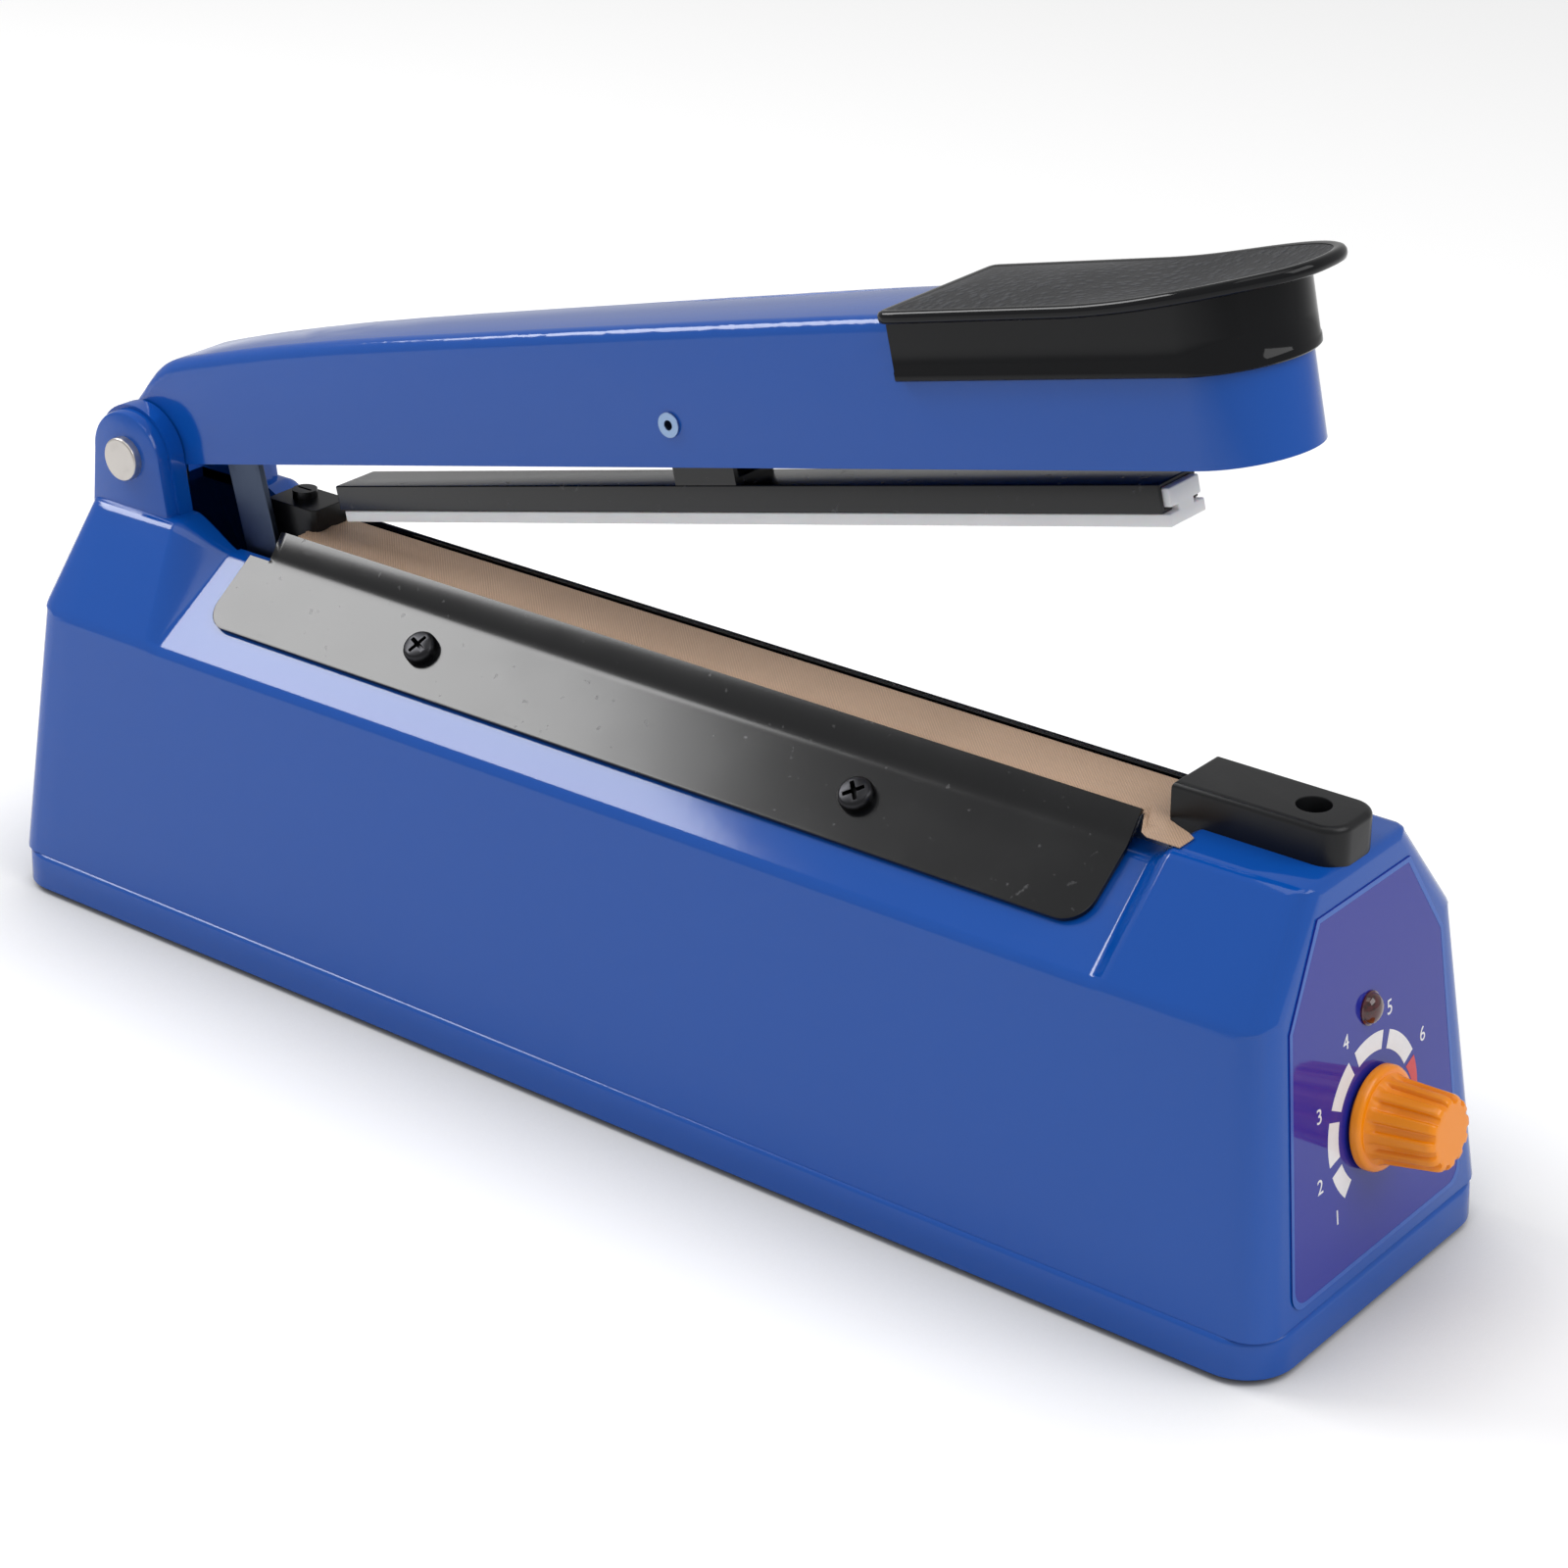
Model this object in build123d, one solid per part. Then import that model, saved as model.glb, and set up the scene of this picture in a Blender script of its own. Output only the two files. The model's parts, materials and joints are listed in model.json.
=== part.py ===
from build123d import *
import os
from math import asin, atan2, cos, degrees, hypot, radians, sin, tan

# Hand-operated impulse heat sealer, millimetres.
# Frame: +X towards the timer knob, -Y towards the user, +Z up. The working
# coordinates below have X = 0 at the middle of the plinth and Z = 0 at its
# underside; save() moves them to the middle and the bottom of the whole sealer.

# ---- base housing ----
BASE_LENGTH = 341.0
BASE_WIDTH = 85.0
PLINTH_HEIGHT = 8.5
PLINTH_CORNER_R = 11.0
PLINTH_PROUD = 1.0
HOUSING_WALL = 2.4
SHOULDER_HEIGHT = 67.8
SIDE_DRAFT_DEG = 5.8
END_DRAFT_DEG = 6.7
SADDLE_HEIGHT = 84.0
SADDLE_TOP_WIDTH = 26.0
TOWER_HEIGHT = 88.0
TOWER_TOP_WIDTH = 36.0
KNOB_TOWER_LENGTH = 37.0
HINGE_TOWER_LENGTH = 41.0
KNOB_TOWER_LEAN = 4.5
HINGE_TOWER_LEAN = 8.0
TOWER_EDGE_R = 6.0
TOWER_RIM_R = 1.6
SHOULDER_CORNER_R = 9.0

# ---- hinge ----
PIN_FROM_END = 22.2
PIN_HEIGHT = 101.8
PIN_RADIUS = 3.0
PIN_CLEARANCE = 0.06
PIN_HEAD_RADIUS = 5.0
PIN_HEAD_THICKNESS = 2.0
EAR_RADIUS = 10.6
EAR_STEP = 0.9
EAR_OUTER_LAYER = 3.0
EAR_GAP = 0.5
CLIP_THICKNESS = 0.8
SPRING_WIRE_R = 0.8
SPRING_TURNS = 5
SPRING_PITCH = 2.2
SPRING_LEG = 16.0
SPRING_POST_R = 1.2
SPRING_POST_X = 12.5

# ---- arm ----
ARM_OPEN_DEG = 13.1
ARM_REAR_WIDTH = 20.0
ARM_NOSE_WIDTH = 30.0
ARM_WALL = 2.2
ARM_DROP = 3.6
ARM_REAR_RADIUS = 10.0
ARM_REAR_HEIGHT = 20.0
ARM_TOP_HEIGHT = 25.6
ARM_EDGE_R = 3.0
NOSE_SET_BACK = 18.8

# ---- handle cap ----
CAP_LENGTH = 79.0
CAP_WALL = 1.5
CAP_SKIRT_BOTTOM = 13.6
CAP_LIP_OVERHANG = 2.6
CAP_LIP_THICKNESS = 2.6
CAP_LIP_HEIGHT = 27.8
CAP_TIP_RISE = 3.4
CAP_TIP_OVERHANG = 9.0

# ---- pressure bar ----
RIVET_X = 160.5
RIVET_Z = 5.2
RIVET_RADIUS = 2.0
RIVET_HEAD_RADIUS = 2.6
BAR_REST_TILT_DEG = 0.3
BAR_WIDTH = 12.0
BAR_HEIGHT = 5.7
BAR_WALL = 1.0
BAR_REACH_BACK = 107.5
BAR_REACH_FRONT = 109.0
BAR_BELOW_RIVET = 20.1
STRIP_PROUD = 2.5
STRIP_NECK = 5.0
STRIP_WIDTH = 11.4
STRIP_END_PROUD = 1.4
HANGER_LENGTH = 16.0
HANGER_SHEET = 1.2

# ---- strut that works the switch ----
STRUT_X = 27.0
STRUT_WIDTH = 10.0
STRUT_SHEET = 1.5
STRUT_TOP = 10.0
STRUT_DEPTH = 45.0
SLOT_CLEARANCE = 1.6

# ---- sealing bed ----
BED_WIDTH = 15.0
BED_BAR_HEIGHT = 5.6
INSULATION_THICKNESS = 0.4
ELEMENT_THICKNESS = 0.2
ELEMENT_WIDTH = 2.0
CLOTH_THICKNESS = 0.25
CLAMP_SHEET = 1.0
CLAMP_WING = 19.0
CLAMP_CREASE_OUT = 0.15
CLAMP_CREASE_RISE = 1.45
CLAMP_CORNER_R = 6.0
CLAMP_SCREW_SPACING = 116.0
CLAMP_SCREW_R = 2.0
PAN_HEAD_R = 3.8
PAN_HEAD_HEIGHT = 2.4
CLOSED_GAP = 0.3

# ---- end cap over the element's front end ----
END_CAP_LENGTH = 36.0
END_CAP_WIDTH = 15.6
END_CAP_HEIGHT = 10.0
END_CAP_CORNER_R = 5.0
END_CAP_SET_BACK = 1.0
END_CAP_HOLE_R = 3.4
END_CAP_HOLE_FROM_END = 10.0
END_CAP_HOLE_FLOOR = 3.0

# ---- timer end ----
KNOB_HEIGHT = 38.3
KNOB_FLANGE_R = 10.3
KNOB_FLANGE_THICKNESS = 2.4
KNOB_BARREL_R = 8.6
KNOB_TIP_R = 7.4
KNOB_LENGTH = 16.0
KNOB_GAP = 0.5
KNOB_FLUTES = 12
KNOB_FLUTE_R = 1.5
SHAFT_RADIUS = 3.0
SHAFT_INSIDE = 10.0
POT_RADIUS = 8.5
POT_LENGTH = 9.0
BUSH_RADIUS = 4.0
LAMP_HEIGHT = 60.5
LAMP_RADIUS = 3.0
LAMP_PROUD = 3.0
LABEL_THICKNESS = 0.3
LABEL_BORDER = 3.4
LABEL_BOTTOM = 11.0
LABEL_CORNER_R = 4.0

# ---- small pieces ----
FOOT_RADIUS = 7.0
FOOT_PROUD = 1.0
FOOT_HEIGHT = 2.6
FOOT_INSET = 17.0
SCREW_INSET_X = 34.0
SCREW_INSET_Y = 14.0
SCREW_RADIUS = 1.5
SCREW_HEAD_R = 3.0
SCREW_HEAD_HEIGHT = 1.6
BOSS_RADIUS = 4.0
TRAY_FLOOR = 2.2
TRAY_RIM = 3.6
INLET_RADIUS = 3.6
INLET_HEIGHT = 24.0
GROMMET_RADIUS = 6.5
GROMMET_FLANGE_R = 8.5
GROMMET_FLANGE = 2.0
WIRE_INSET = 12.0
WIRE_RADIUS = 0.9
PLUNGER_TRAVEL = 1.4

# ---- places worked out from the sizes above ----
HALF_LENGTH = BASE_LENGTH / 2
HALF_WIDTH = BASE_WIDTH / 2
WALL_RISE = SHOULDER_HEIGHT - PLINTH_HEIGHT
FOOT_X0 = HALF_LENGTH - PLINTH_PROUD
FOOT_Y0 = HALF_WIDTH - PLINTH_PROUD
SHOULDER_X = FOOT_X0 - WALL_RISE * tan(radians(END_DRAFT_DEG))
SHOULDER_Y = FOOT_Y0 - WALL_RISE * tan(radians(SIDE_DRAFT_DEG))
TOWER_X = SHOULDER_X - (TOWER_HEIGHT - SHOULDER_HEIGHT) * tan(radians(END_DRAFT_DEG))
SADDLE_RIGHT = SHOULDER_X - KNOB_TOWER_LENGTH
SADDLE_LEFT = -SHOULDER_X + HINGE_TOWER_LENGTH
PIN_X = -HALF_LENGTH + PIN_FROM_END
ARM_LENGTH = BASE_LENGTH - PIN_FROM_END - NOSE_SET_BACK
NOSE_R = ARM_NOSE_WIDTH / 2
EAR_INNER = ARM_REAR_WIDTH / 2 + EAR_GAP
EAR_OUTER = TOWER_TOP_WIDTH / 2 - 0.5
DECK_LEVEL = SHOULDER_HEIGHT - HOUSING_WALL
BED_TOP = SADDLE_HEIGHT + BED_BAR_HEIGHT
CLOTH_TOP = BED_TOP + INSULATION_THICKNESS + ELEMENT_THICKNESS + CLOTH_THICKNESS
STRUT_SIDE = -(ARM_REAR_WIDTH / 2 - ARM_WALL)
SLOT_END = SADDLE_LEFT + 15.6
BED_LEFT = SLOT_END + 2.4
CLAMP_LEFT = SADDLE_LEFT + 6.8
CLAMP_RIGHT = SADDLE_RIGHT - 7.8
FLANGE_LEFT = SLOT_END - 2.8
CLAMP_MIDDLE = (CLAMP_LEFT + CLAMP_RIGHT) / 2
SPRING_RADIUS = PIN_RADIUS + SPRING_WIRE_R + 1.2
STRIP_BELOW_RIVET = BAR_BELOW_RIVET + STRIP_PROUD
RIVET_REACH = hypot(RIVET_X, RIVET_Z)
RIVET_ANGLE = degrees(atan2(RIVET_Z, RIVET_X))
CLOSED_RIVET_Z = CLOTH_TOP + CLOSED_GAP + STRIP_BELOW_RIVET - PIN_HEIGHT
ARM_CLOSED_DEG = degrees(asin(CLOSED_RIVET_Z / RIVET_REACH)) - RIVET_ANGLE
ARM_TRAVEL_DEG = ARM_OPEN_DEG - ARM_CLOSED_DEG
BAR_ROCK_DEG = ARM_CLOSED_DEG + BAR_REST_TILT_DEG
END_CAP_RIGHT = TOWER_X - END_CAP_SET_BACK
END_CAP_LEFT = END_CAP_RIGHT - END_CAP_LENGTH
BED_RIGHT = END_CAP_LEFT
KNOB_TIP_X = FOOT_X0 - (KNOB_HEIGHT - PLINTH_HEIGHT) * tan(radians(END_DRAFT_DEG)) + (
    KNOB_GAP + LABEL_THICKNESS + KNOB_LENGTH
) * cos(radians(END_DRAFT_DEG))
ORIGIN_X = (KNOB_TIP_X - HALF_LENGTH) / 2


def save(name, shape):
    """Write one piece, moved to the sealer's own frame."""
    placed = Pos(-ORIGIN_X, 0, FOOT_PROUD) * shape
    placed.label = name
    export_step(placed, f"parts/{name}.step")


def cylinder_y(radius, y0, y1, x, z):
    """A cylinder along Y from y0 to y1."""
    return Pos(x, y0, z) * Rot(-90, 0, 0) * Cylinder(
        radius, y1 - y0, align=(Align.CENTER, Align.CENTER, Align.MIN))


def cylinder_z(radius, z0, z1, x, y):
    """A cylinder along Z from z0 to z1."""
    return Pos(x, y, z0) * Cylinder(
        radius, z1 - z0, align=(Align.CENTER, Align.CENTER, Align.MIN))


def block(x0, x1, y0, y1, z0, z1):
    """A box between two corners."""
    return Pos((x0 + x1) / 2, (y0 + y1) / 2, (z0 + z1) / 2) * Box(x1 - x0, y1 - y0, z1 - z0)


def rounded_plan(x0, x1, half_width, radius, z):
    """A rounded rectangle lying at height z."""
    return Pos((x0 + x1) / 2, 0, z) * RectangleRounded(x1 - x0, 2 * half_width, radius)


def prism_x(points, x0, x1):
    """A solid with the outline points (y, z), from x0 to x1."""
    outline = Plane.YZ.offset(x0) * make_face(Polyline(*points, close=True))
    return extrude(outline, x1 - x0, dir=(1, 0, 0))


def end_plane(height, outwards=0.0):
    """The plane of the timer end's sloping face: X up the face, Z out of it."""
    draft = radians(END_DRAFT_DEG)
    x = FOOT_X0 - (height - PLINTH_HEIGHT) * tan(draft)
    normal = Vector(cos(draft), 0, sin(draft))
    return Plane(Vector(x, 0, height) + normal * outwards, x_dir=(0, 1, 0), z_dir=normal)


def inlet_place():
    """The cord inlet's place on the hinge end's sloping face, Z outwards."""
    draft = radians(END_DRAFT_DEG)
    x = -FOOT_X0 + (INLET_HEIGHT - PLINTH_HEIGHT) * tan(draft)
    return Plane((x, 0, INLET_HEIGHT), x_dir=(0, -1, 0), z_dir=(-cos(draft), 0, sin(draft))).location


def arm_place(shape):
    """Put a shape from the arm's closed frame, at the pin, where it rests open."""
    return Pos(PIN_X, 0, PIN_HEIGHT) * Rot(0, -ARM_OPEN_DEG, 0) * shape


def bar_place(shape):
    """Put a shape from the bar's frame, at its rivet, where it rests."""
    return arm_place(Pos(RIVET_X, 0, RIVET_Z) * Rot(0, -BAR_REST_TILT_DEG, 0) * shape)


# ---------------------------------------------------------------- housing

def tower_form(x_out, x_in, lean, inset):
    """One end tower above the shoulder, from its outer end to its saddle side."""
    side = 1 if x_out > 0 else -1
    top_out = side * (TOWER_X - inset)
    low = sorted((x_out - side * inset, x_in + side * inset))
    high = sorted((top_out, x_in + side * (lean + inset)))
    skin = inset * 1.4
    base = rounded_plan(*low, SHOULDER_Y - skin, SHOULDER_CORNER_R - inset, SHOULDER_HEIGHT)
    top = rounded_plan(*high, TOWER_TOP_WIDTH / 2 - inset, TOWER_EDGE_R - inset, TOWER_HEIGHT - inset)
    return loft([base, top])


def housing_form(inset):
    """The housing's outer shape, or its inner one when inset by the wall."""
    skirt = loft([
        rounded_plan(-FOOT_X0 + inset, FOOT_X0 - inset, FOOT_Y0 - inset,
                     PLINTH_CORNER_R - inset, PLINTH_HEIGHT),
        rounded_plan(-SHOULDER_X + inset, SHOULDER_X - inset, SHOULDER_Y - inset,
                     SHOULDER_CORNER_R - inset, SHOULDER_HEIGHT)])
    skin = inset * 1.6
    saddle = prism_x([(-SHOULDER_Y + skin, SHOULDER_HEIGHT), (SHOULDER_Y - skin, SHOULDER_HEIGHT),
                      (SADDLE_TOP_WIDTH / 2 - inset / 3, SADDLE_HEIGHT - inset),
                      (-SADDLE_TOP_WIDTH / 2 + inset / 3, SADDLE_HEIGHT - inset)],
                     SADDLE_LEFT - SHOULDER_CORNER_R, SADDLE_RIGHT + SHOULDER_CORNER_R)
    knob_tower = tower_form(SHOULDER_X, SADDLE_RIGHT, KNOB_TOWER_LEAN, inset)
    hinge_tower = tower_form(-SHOULDER_X, SADDLE_LEFT, HINGE_TOWER_LEAN, inset)
    return skirt + saddle + knob_tower + hinge_tower


def hinge_ears():
    """Two rounded ears on the hinge tower, each with a thicker inner layer."""
    ears = None
    for side in (-1, 1):
        inner = sorted((side * EAR_INNER, side * (EAR_OUTER - EAR_OUTER_LAYER)))
        outer = sorted((side * (EAR_OUTER - EAR_OUTER_LAYER), side * EAR_OUTER))
        for (y0, y1), radius in ((inner, EAR_RADIUS + EAR_STEP), (outer, EAR_RADIUS)):
            round_top = cylinder_y(radius, y0, y1, PIN_X, PIN_HEIGHT)
            post = block(PIN_X - radius, PIN_X + radius, y0, y1, TOWER_HEIGHT - HOUSING_WALL, PIN_HEIGHT)
            ears = round_top + post if ears is None else ears + round_top + post
    return ears


def screw_bosses():
    """Four posts that the bottom cover is screwed to."""
    places = [(sx * (HALF_LENGTH - SCREW_INSET_X), sy * (HALF_WIDTH - SCREW_INSET_Y))
              for sx in (-1, 1) for sy in (-1, 1)]
    return [(x, y, cylinder_z(BOSS_RADIUS, TRAY_FLOOR, TOWER_HEIGHT, x, y)) for x, y in places]


def moulded_shell():
    """The whole moulding over the tray: walls, shoulders, saddle, towers and ears."""
    outer = housing_form(0)
    outer = fillet(outer.edges().filter_by_position(Axis.Z, TOWER_HEIGHT, TOWER_HEIGHT), TOWER_RIM_R)
    shell = outer - housing_form(HOUSING_WALL)
    for x, y, post in screw_bosses():
        shell += post & (outer + block(x - BOSS_RADIUS, x + BOSS_RADIUS, y - BOSS_RADIUS,
                                       y + BOSS_RADIUS, TRAY_FLOOR, PLINTH_HEIGHT))
        shell -= cylinder_z(SCREW_RADIUS, TRAY_FLOOR, TRAY_FLOOR + 12, x, y)
    shell += hinge_ears()
    shell -= cylinder_y(PIN_RADIUS + PIN_CLEARANCE, -HALF_WIDTH, HALF_WIDTH, PIN_X, PIN_HEIGHT)
    well_left = PIN_X - SPRING_RADIUS - SPRING_WIRE_R
    shell -= block(well_left, SADDLE_LEFT, -EAR_INNER, EAR_INNER,
                   SHOULDER_HEIGHT - HOUSING_WALL, TOWER_HEIGHT + 0.01)
    slot_y0 = STRUT_SIDE - SLOT_CLEARANCE
    slot_y1 = STRUT_SIDE + STRUT_SHEET + SLOT_CLEARANCE
    shell -= block(SADDLE_LEFT - 0.01, SLOT_END, slot_y0, slot_y1,
                   SHOULDER_HEIGHT - HOUSING_WALL, TOWER_HEIGHT + 0.01)
    shell -= end_plane(KNOB_HEIGHT).location * Cylinder(BUSH_RADIUS + 0.1, 4 * HOUSING_WALL)
    shell -= end_plane(LAMP_HEIGHT).location * Cylinder(LAMP_RADIUS + 0.05, 4 * HOUSING_WALL)
    shell -= inlet_place() * Cylinder(GROMMET_RADIUS, 12)
    for y in (-1, 1):
        for x in clamp_screw_places():
            shell -= clamp_screw_hole(x, y)
    shell -= cylinder_z(CLAMP_SCREW_R, SADDLE_HEIGHT - 8, TOWER_HEIGHT + 1,
                        END_CAP_RIGHT - END_CAP_HOLE_FROM_END, 0)
    return shell


def base_housing():
    """The moulding's four walls, up to the level of the deck."""
    low = moulded_shell() & block(-HALF_LENGTH, HALF_LENGTH, -HALF_WIDTH, HALF_WIDTH, 0, DECK_LEVEL)
    return low.solids().sort_by(SortBy.VOLUME)[-1]


def base_deck():
    """The moulding's top: shoulders, saddle, towers, hinge ears and screw bosses."""
    return moulded_shell() - base_housing()


def bottom_cover():
    """The plinth: a shallow tray with a rim that the housing stands on."""
    outer = loft([rounded_plan(-HALF_LENGTH, HALF_LENGTH, HALF_WIDTH, PLINTH_CORNER_R, 0),
                  rounded_plan(-HALF_LENGTH + 0.4, HALF_LENGTH - 0.4, HALF_WIDTH - 0.4,
                               PLINTH_CORNER_R, PLINTH_HEIGHT)])
    top_edges = outer.edges().filter_by_position(Axis.Z, PLINTH_HEIGHT - 0.1, PLINTH_HEIGHT + 0.1)
    outer = fillet(top_edges, PLINTH_PROUD * 0.55)
    inside = rounded_plan(-HALF_LENGTH + TRAY_RIM, HALF_LENGTH - TRAY_RIM,
                          HALF_WIDTH - TRAY_RIM, PLINTH_CORNER_R - TRAY_RIM, TRAY_FLOOR)
    tray = outer - extrude(inside, PLINTH_HEIGHT)
    for x, y in foot_places():
        tray -= cylinder_z(FOOT_RADIUS, -1, FOOT_HEIGHT - FOOT_PROUD, x, y)
    for x, y, _ in screw_bosses():
        tray -= cylinder_z(SCREW_RADIUS, -1, TRAY_FLOOR + 1, x, y)
        tray -= cylinder_z(SCREW_HEAD_R + 0.2, -1, SCREW_HEAD_HEIGHT, x, y)
    return tray


def foot_places():
    return [(sx * (HALF_LENGTH - FOOT_INSET), sy * (HALF_WIDTH - FOOT_INSET))
            for sx in (-1, 1) for sy in (-1, 1)]


def rubber_foot(x, y):
    foot = cylinder_z(FOOT_RADIUS, -FOOT_PROUD, FOOT_HEIGHT - FOOT_PROUD, x, y)
    return fillet(foot.edges().group_by(Axis.Z)[0], 0.5)


def cover_screw(x, y):
    head = cylinder_z(SCREW_HEAD_R, 0.2, SCREW_HEAD_HEIGHT, x, y)
    shank = cylinder_z(SCREW_RADIUS, SCREW_HEAD_HEIGHT, TRAY_FLOOR + 10, x, y)
    slots = block(x - 1.8, x + 1.8, y - 0.35, y + 0.35, 0, 1) + block(
        x - 0.35, x + 0.35, y - 1.8, y + 1.8, 0, 1)
    return head + shank - slots


# ---------------------------------------------------------------- sealing bed

def clamp_screw_places():
    return [CLAMP_MIDDLE - CLAMP_SCREW_SPACING / 2, CLAMP_MIDDLE + CLAMP_SCREW_SPACING / 2]


def clamp_crease():
    """Y and Z of the clamp plate's crease, and the slope of its wing in degrees."""
    y = -(SADDLE_TOP_WIDTH / 2 + CLAMP_CREASE_OUT)
    z = SADDLE_HEIGHT + CLAMP_CREASE_RISE
    slope = degrees(atan2(SADDLE_HEIGHT - SHOULDER_HEIGHT, SHOULDER_Y - SADDLE_TOP_WIDTH / 2))
    return y, z, slope


def on_wing(x, side, shape, along=0.45):
    """Put a shape on the wing's top face, its Z along the wing's normal."""
    y, z, slope = clamp_crease()
    run = CLAMP_WING * along
    place = Pos(x, y - run * cos(radians(slope)), z - run * sin(radians(slope)))
    near = place * Rot(slope, 0, 0) * shape
    return near if side < 0 else mirror(near, Plane.XZ)


def clamp_screw_hole(x, side):
    depth = 2 * CLAMP_SHEET + 9
    hole = Pos(0, 0, -depth) * Cylinder(CLAMP_SCREW_R, depth, align=(Align.CENTER, Align.CENTER, Align.MIN))
    return on_wing(x, side, hole)


def clamp_screw(x, side):
    """A pan-head cross screw standing on the wing."""
    head = Cylinder(PAN_HEAD_R, PAN_HEAD_HEIGHT, align=(Align.CENTER, Align.CENTER, Align.MIN))
    head = fillet(head.edges().group_by(Axis.Z)[-1], PAN_HEAD_HEIGHT * 0.6)
    shank = Pos(0, 0, -9) * Cylinder(CLAMP_SCREW_R, 9, align=(Align.CENTER, Align.CENTER, Align.MIN))
    arm = 2 * PAN_HEAD_R * 0.62
    cross = Pos(0, 0, PAN_HEAD_HEIGHT) * (Box(arm, 0.9, 2.4) + Box(0.9, arm, 2.4))
    return on_wing(x, side, head + shank - cross)


def clamp_plate(side):
    """A bent strip: a steep flange against the bed and a wing on the saddle."""
    y, z, slope = clamp_crease()
    top_y = -(BED_WIDTH / 2 + CLOTH_THICKNESS)
    wing_y = y - CLAMP_WING * cos(radians(slope))
    wing_z = z - CLAMP_WING * sin(radians(slope))
    nx, nz = CLAMP_SHEET * sin(radians(slope)), CLAMP_SHEET * cos(radians(slope))
    outline = [(top_y, CLOTH_TOP), (y, z), (wing_y, wing_z), (wing_y + nx, wing_z - nz),
               (y + nx, z - nz), (top_y, CLOTH_TOP - 1.35 * CLAMP_SHEET)]
    plate = prism_x(outline, CLAMP_LEFT, CLAMP_RIGHT)
    ends = [e for e in plate.edges().filter_by(GeomType.LINE)
            if abs(e.center().Y - (wing_y + nx / 2)) < 0.3
            and abs(abs(e.center().X - CLAMP_MIDDLE) - (CLAMP_RIGHT - CLAMP_LEFT) / 2) < 0.1]
    plate = fillet(ends, CLAMP_CORNER_R)
    plate -= block(CLAMP_LEFT - 1, FLANGE_LEFT, y + 0.1, 0, z - 4, CLOTH_TOP + 1)
    for x in clamp_screw_places():
        plate -= clamp_screw_hole(x, -1)
    return plate if side < 0 else mirror(plate, Plane.XZ)


def sealing_bed():
    return block(BED_LEFT, BED_RIGHT, -BED_WIDTH / 2, BED_WIDTH / 2, SADDLE_HEIGHT, BED_TOP)


def insulation_strip():
    return block(BED_LEFT, BED_RIGHT, -BED_WIDTH / 2, BED_WIDTH / 2, BED_TOP,
                 BED_TOP + INSULATION_THICKNESS)


def heating_element():
    """The flat resistance ribbon along the middle of the bed."""
    z = BED_TOP + INSULATION_THICKNESS
    return block(BED_LEFT, BED_RIGHT, -ELEMENT_WIDTH / 2, ELEMENT_WIDTH / 2, z, z + ELEMENT_THICKNESS)


def ptfe_cloth():
    """A thin sheet over the bed, tucked under both clamp plates."""
    low = BED_TOP + INSULATION_THICKNESS
    side = BED_WIDTH / 2
    tuck = SADDLE_HEIGHT + 0.8
    out = side + CLOTH_THICKNESS
    outline = [(-out, tuck), (-side, tuck), (-side, low), (-ELEMENT_WIDTH / 2, low),
               (-ELEMENT_WIDTH / 2, low + ELEMENT_THICKNESS), (ELEMENT_WIDTH / 2, low + ELEMENT_THICKNESS),
               (ELEMENT_WIDTH / 2, low), (side, low), (side, tuck), (out, tuck), (out, CLOTH_TOP),
               (-out, CLOTH_TOP)]
    return prism_x(outline, BED_LEFT, BED_RIGHT)


def rear_block():
    """The black block that holds the element's hinge end, beside the strut."""
    y0 = STRUT_SIDE + STRUT_SHEET + SLOT_CLEARANCE + 0.8
    body = block(SADDLE_LEFT + 3.5, BED_LEFT, y0, BED_WIDTH / 2 - 0.5, SADDLE_HEIGHT, CLOTH_TOP + 5)
    body = chamfer(body.edges().filter_by(Axis.Z), 1.0)
    return body - cylinder_z(1.5, SADDLE_HEIGHT + 2, CLOTH_TOP + 6, SADDLE_LEFT + 9.5, 2.0)


def rear_block_screw():
    x, y = SADDLE_LEFT + 9.5, 2.0
    top = CLOTH_TOP + 5
    head = cylinder_z(2.8, top, top + 1.8, x, y)
    head -= block(x - 2, x + 2, y - 0.35, y + 0.35, top + 1, top + 2)
    return head + cylinder_z(1.5, SADDLE_HEIGHT + 2, top, x, y)


def end_cap():
    """The black cap over the element's front end, with a sunk screw hole."""
    bottom, top = TOWER_HEIGHT, TOWER_HEIGHT + END_CAP_HEIGHT
    half = END_CAP_WIDTH / 2
    body = block(END_CAP_LEFT, END_CAP_RIGHT, -half, half, bottom, top)
    upright = body.edges().filter_by(Axis.Z).group_by(Axis.X)[-1]
    body = fillet(upright, END_CAP_CORNER_R)
    body = fillet(body.edges().group_by(Axis.Z)[-1], 1.4)
    body += block(END_CAP_LEFT, SADDLE_RIGHT + KNOB_TOWER_LEAN * 0.5, -half + 3, half - 3,
                  SADDLE_HEIGHT, bottom + 1) - housing_form(0)
    x = END_CAP_RIGHT - END_CAP_HOLE_FROM_END
    body -= cylinder_z(END_CAP_HOLE_R, bottom + END_CAP_HOLE_FLOOR, top + 1, x, 0)
    return body - cylinder_z(CLAMP_SCREW_R, bottom - 1, top, x, 0)


def end_cap_screw():
    x = END_CAP_RIGHT - END_CAP_HOLE_FROM_END
    seat = TOWER_HEIGHT + END_CAP_HOLE_FLOOR
    head = cylinder_z(END_CAP_HOLE_R - 0.3, seat, seat + 2.0, x, 0)
    head -= block(x - 2, x + 2, -0.4, 0.4, seat + 1, seat + 3)
    head -= block(x - 0.4, x + 0.4, -2, 2, seat + 1, seat + 3)
    return head + cylinder_z(CLAMP_SCREW_R, seat - 9, seat, x, 0)


# ---------------------------------------------------------------- hinge and arm

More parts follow.
